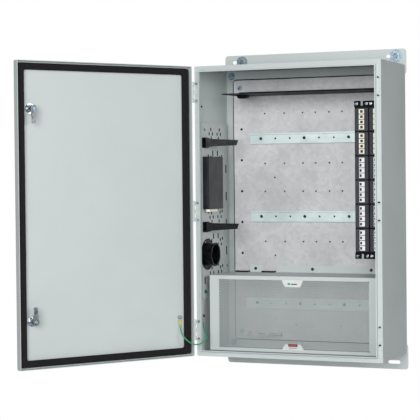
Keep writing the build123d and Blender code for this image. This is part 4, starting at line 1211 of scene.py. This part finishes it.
@dataclass
class BracketShadeLiner:
    """Thin black liner between the side bracket and the cabinet's wall that stands in for the shade seen
    through the slots.
    """

    sheet: float = 0.0004
    wall_gap: float = 0.0004
    inset: float = 0.004
    strip_width: float = 0.044
    plate_drop: float = 0.031
    screw_radius: float = 0.006
    screw_rise: float = 0.0235
    screw_setback: float = 0.022
    screw_dome: tuple[tuple[float, float], ...] = ((1, 0), (1, 0.55), (0.85, 0.66), (0.0001, 0.72))
    segments: int = 24

    def build(self, materials: Materials) -> None:
        """Make the black liner that stands in for shade, and the green head of the bracket's lowest screw.

        Args:
            materials: the finished materials by name.
        """
        low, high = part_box("side_bracket")
        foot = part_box("power_guard")[1].z - self.plate_drop
        wall = low.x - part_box("bracket_spacers")[1].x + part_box("bracket_spacers")[0].x
        start = wall + self.wall_gap
        end = start + self.sheet
        front, back = low.y + self.inset, high.y - self.inset
        main = block((start, front, foot), (end, back, high.z - self.inset))
        tail_back = low.y + self.strip_width - self.inset
        tail = block((start, front, low.z + self.inset), (end, tail_back, foot))
        # Black liner standing in for the shade behind the bracket's slots.
        piece("bracket_shade_liner", main.joined(tail), materials["black_paint"], "black_paint")
        seat = (high.x, low.y + self.screw_setback, low.z + self.screw_rise)
        dome = np.array(self.screw_dome) * self.screw_radius
        head = turned(dome, seat, (1.0, 0.0, 0.0), self.segments)
        smooth_round(piece("bonding_screw", head, materials["green_screw"], "zinc_plate"))


# ---- earth wire -------------------------------------------------------------------------------


@dataclass
class EarthWire:
    """The bonding lead between the cabinet and the door."""

    radius: float = 0.0021
    length: float = 0.222
    around: int = 16
    route: tuple[Point, ...] = (
        (-0.3453, -0.3058, -0.3435),
        (-0.3453, -0.3058, -0.3660),
        (-0.3330, -0.3165, -0.3880),
        (-0.3175, -0.3135, -0.4060),
        (-0.2995, -0.3000, -0.4190),
        (-0.2815, -0.2865, -0.4160),
        (-0.2695, -0.2725, -0.4020),
        (-0.2765, -0.2565, -0.3865),
        (-0.2976, -0.2350, -0.3660),
        (-0.2976, -0.2350, -0.3435),
    )

    def build(self, materials: Materials) -> None:
        """Make the wire's tube between the door and the cabinet, riding on neither.

        Args:
            materials: the finished materials by name.
        """
        line = self.centreline()
        surface, runs = self.tube(line)
        wire = piece("bonding_wire", surface, materials["wire_skin"], "wire_pvc", None)
        layer = wire.data.uv_layers.new(name="run")
        corners = np.zeros(len(wire.data.loops), np.int32)
        wire.data.loops.foreach_get("vertex_index", corners)
        layer.data.foreach_set("uv", runs[corners].astype(np.float32).ravel())
        smooth_round(wire)
        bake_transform(wire)
        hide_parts("earth_wire")

    def centreline(self) -> np.ndarray:
        """Points along the smooth curve whose control points are the route.

        Returns:
            The points, from the door's end to the cabinet's.
        """
        curve = bpy.data.curves.new("wire_route", "CURVE")
        curve.dimensions = "3D"
        curve.resolution_u = 12
        spline = curve.splines.new("NURBS")
        spline.points.add(len(self.route) - 1)
        spline.points.foreach_set("co", np.array([(*p, 1.0) for p in self.route]).ravel())
        spline.order_u = 3
        spline.use_endpoint_u = True
        carrier = bpy.data.objects.new("wire_route", curve)
        bpy.context.scene.collection.objects.link(carrier)
        bpy.context.view_layer.update()
        mesh = bpy.data.meshes.new_from_object(carrier)
        points = np.zeros(len(mesh.vertices) * 3)
        mesh.vertices.foreach_get("co", points)
        bpy.data.objects.remove(carrier)
        bpy.data.meshes.remove(mesh)
        return points.reshape(-1, 3)

    def tube(self, line: np.ndarray) -> tuple[Surface, np.ndarray]:
        """Rings of one radius carried along the line and closed at both ends.

        Each ring lies square to the line, and starts at the direction nearest to the normal of
        the route's own upright plane.

        Args:
            line: the points to follow.

        Returns:
            The tube, and each vertex's run along and share round the wire.
        """
        ahead = np.gradient(line, axis=0)
        ahead = ahead / np.linalg.norm(ahead, axis=1)[:, None]
        chord = line[-1] - line[0]
        side = np.array([chord[1], -chord[0], 0.0])
        side = side / np.linalg.norm(side)
        first = side - (ahead @ side)[:, None] * ahead
        first = first / np.linalg.norm(first, axis=1)[:, None]
        second = np.cross(ahead, first)
        share = np.arange(self.around) / self.around
        angles = share * 2 * math.pi
        ring = (
            np.cos(angles)[None, :, None] * first[:, None, :]
            + np.sin(angles)[None, :, None] * second[:, None, :]
        )
        grid = line[:, None, :] + self.radius * ring
        reach = np.concatenate([[0.0], np.cumsum(np.linalg.norm(np.diff(line, axis=0), axis=1))])
        runs = np.stack([np.repeat(reach, self.around), np.tile(share, len(line))], axis=1)
        return Surface(grid.reshape(-1, 3), ring_faces(len(line), self.around)), runs


# ---- studio --------------------------------------------------------------------------------------


@dataclass(frozen=True)
class SoftBox:
    """A large square lamp aimed at the middle of the cabinet."""

    name: str
    place: Point
    side: float
    watts: float
    tint: Colour = (1.0, 1.0, 1.0)

    def build(self) -> None:
        """Hang the lamp and aim it."""
        lamp = bpy.data.lights.new(self.name, "AREA")
        lamp.shape = "SQUARE"
        lamp.size = self.side
        lamp.energy = self.watts
        lamp.color = self.tint
        hung = bpy.data.objects.new(self.name, lamp)
        bpy.context.scene.collection.objects.link(hung)
        hung.location = self.place
        aim = Vector((0.0, -0.15, 0.0)) - Vector(self.place)
        hung.rotation_euler = aim.to_track_quat("-Z", "Y").to_euler()


@dataclass
class Studio:
    """Camera, lamps, pale floor and plain surroundings."""

    eye: Point = (1.6078, -4.6050, 0.1059)
    yaw: float = 23.246
    pitch: float = -1.231
    roll: float = 0.561
    lens: float = 128.7
    floor_drop: float = 0.75
    floor_reach: float = 2.2
    ambient: float = 0.104
    lamps: tuple[SoftBox, ...] = (
        SoftBox("front", (0.6, -5.2, 0.9), 2.5, 179.0),
        SoftBox("right", (3.0, -4.2, 0.7), 1.5, 38.0),
        SoftBox("side", (3.6, -1.7, 0.7), 1.5, 43.0),
        SoftBox("back", (-1.8, 3.6, 2.2), 2.4, 110.0),
    )

    def build(self, materials: Materials) -> None:
        """Set up everything round the object.

        Args:
            materials: the finished materials by name.
        """
        self.aim_camera()
        for lamp in self.lamps:
            lamp.build()
        self.surround()
        self.lay_floor(materials["floor_paint"])
        bpy.context.scene.view_settings.view_transform = "Standard"

    def aim_camera(self) -> None:
        """Turn the camera by its yaw, then its pitch, then its roll about its own view."""
        camera = bpy.data.cameras.new("camera")
        camera.lens = self.lens
        camera.sensor_width = 36.0
        camera.clip_end = 60.0
        held = bpy.data.objects.new("camera", camera)
        bpy.context.scene.collection.objects.link(held)
        turn = (
            Matrix.Rotation(math.radians(self.yaw), 3, "Z")
            @ Matrix.Rotation(math.radians(self.pitch), 3, "X")
            @ Matrix.Rotation(math.radians(self.roll), 3, "Y")
        )
        level = turn @ Matrix.Rotation(math.pi / 2, 3, "X")
        held.matrix_world = Matrix.Translation(self.eye) @ level.to_4x4()
        bpy.context.scene.camera = held

    def surround(self) -> None:
        """White to the eye behind the object, and a softer grey where it lights the object."""
        world = bpy.data.worlds.new("studio")
        world.use_nodes = True
        tree = Tree(world.node_tree)
        tree.nodes.nodes.clear()
        seen = tree.add("ShaderNodeLightPath").outputs["Is Camera Ray"]
        strength = tree.add(
            "ShaderNodeMapRange", {"Value": seen, "To Min": self.ambient, "To Max": 1.0}
        )
        paper = tree.add(
            "ShaderNodeBackground", {"Color": (1.0, 1.0, 1.0, 1.0), "Strength": strength.outputs[0]}
        )
        tree.add("ShaderNodeOutputWorld", {"Surface": paper.outputs[0]})
        bpy.context.scene.world = world

    def lay_floor(self, material: bpy.types.Material) -> None:
        """Lay a pale floor some way under the cabinet, which hangs on a wall.

        Args:
            material: the floor's finish.
        """
        height = CAD_BOX[0].z - self.floor_drop
        reach = self.floor_reach
        signs = np.array([(-1, -1), (1, -1), (1, 1), (-1, 1)])
        corners = np.hstack([signs * reach, np.full((4, 1), height)])
        mesh = bpy.data.meshes.new("floor")
        mesh.from_pydata(corners.tolist(), [], [[0, 1, 2, 3]])
        mesh.materials.append(material)
        floor = bpy.data.objects.new("floor", mesh)
        bpy.context.scene.collection.objects.link(floor)


def write_sizes() -> None:
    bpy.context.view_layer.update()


def main() -> None:
    """Build the looks in order."""
    logging.basicConfig(level=logging.INFO, format="%(name)s: %(message)s")
    materials = {finish.name: finish.build() for finish in ALL_FINISHES}
    Studio().build(materials)
    EarthWire().build(materials)
    dress_cad_nodes(materials)
    PowerGuard().build(materials)
    WallBolts().build(materials)
    # A black sheet stands in for the shade round and behind the subpanel.
    PanelShadeSheet().build(materials)
    # A black liner stands in for the shade behind the side bracket's slots.
    BracketShadeLiner().build(materials)
    SmallFittings().build(materials)
    write_sizes()


if __name__ == "__main__":
    main()
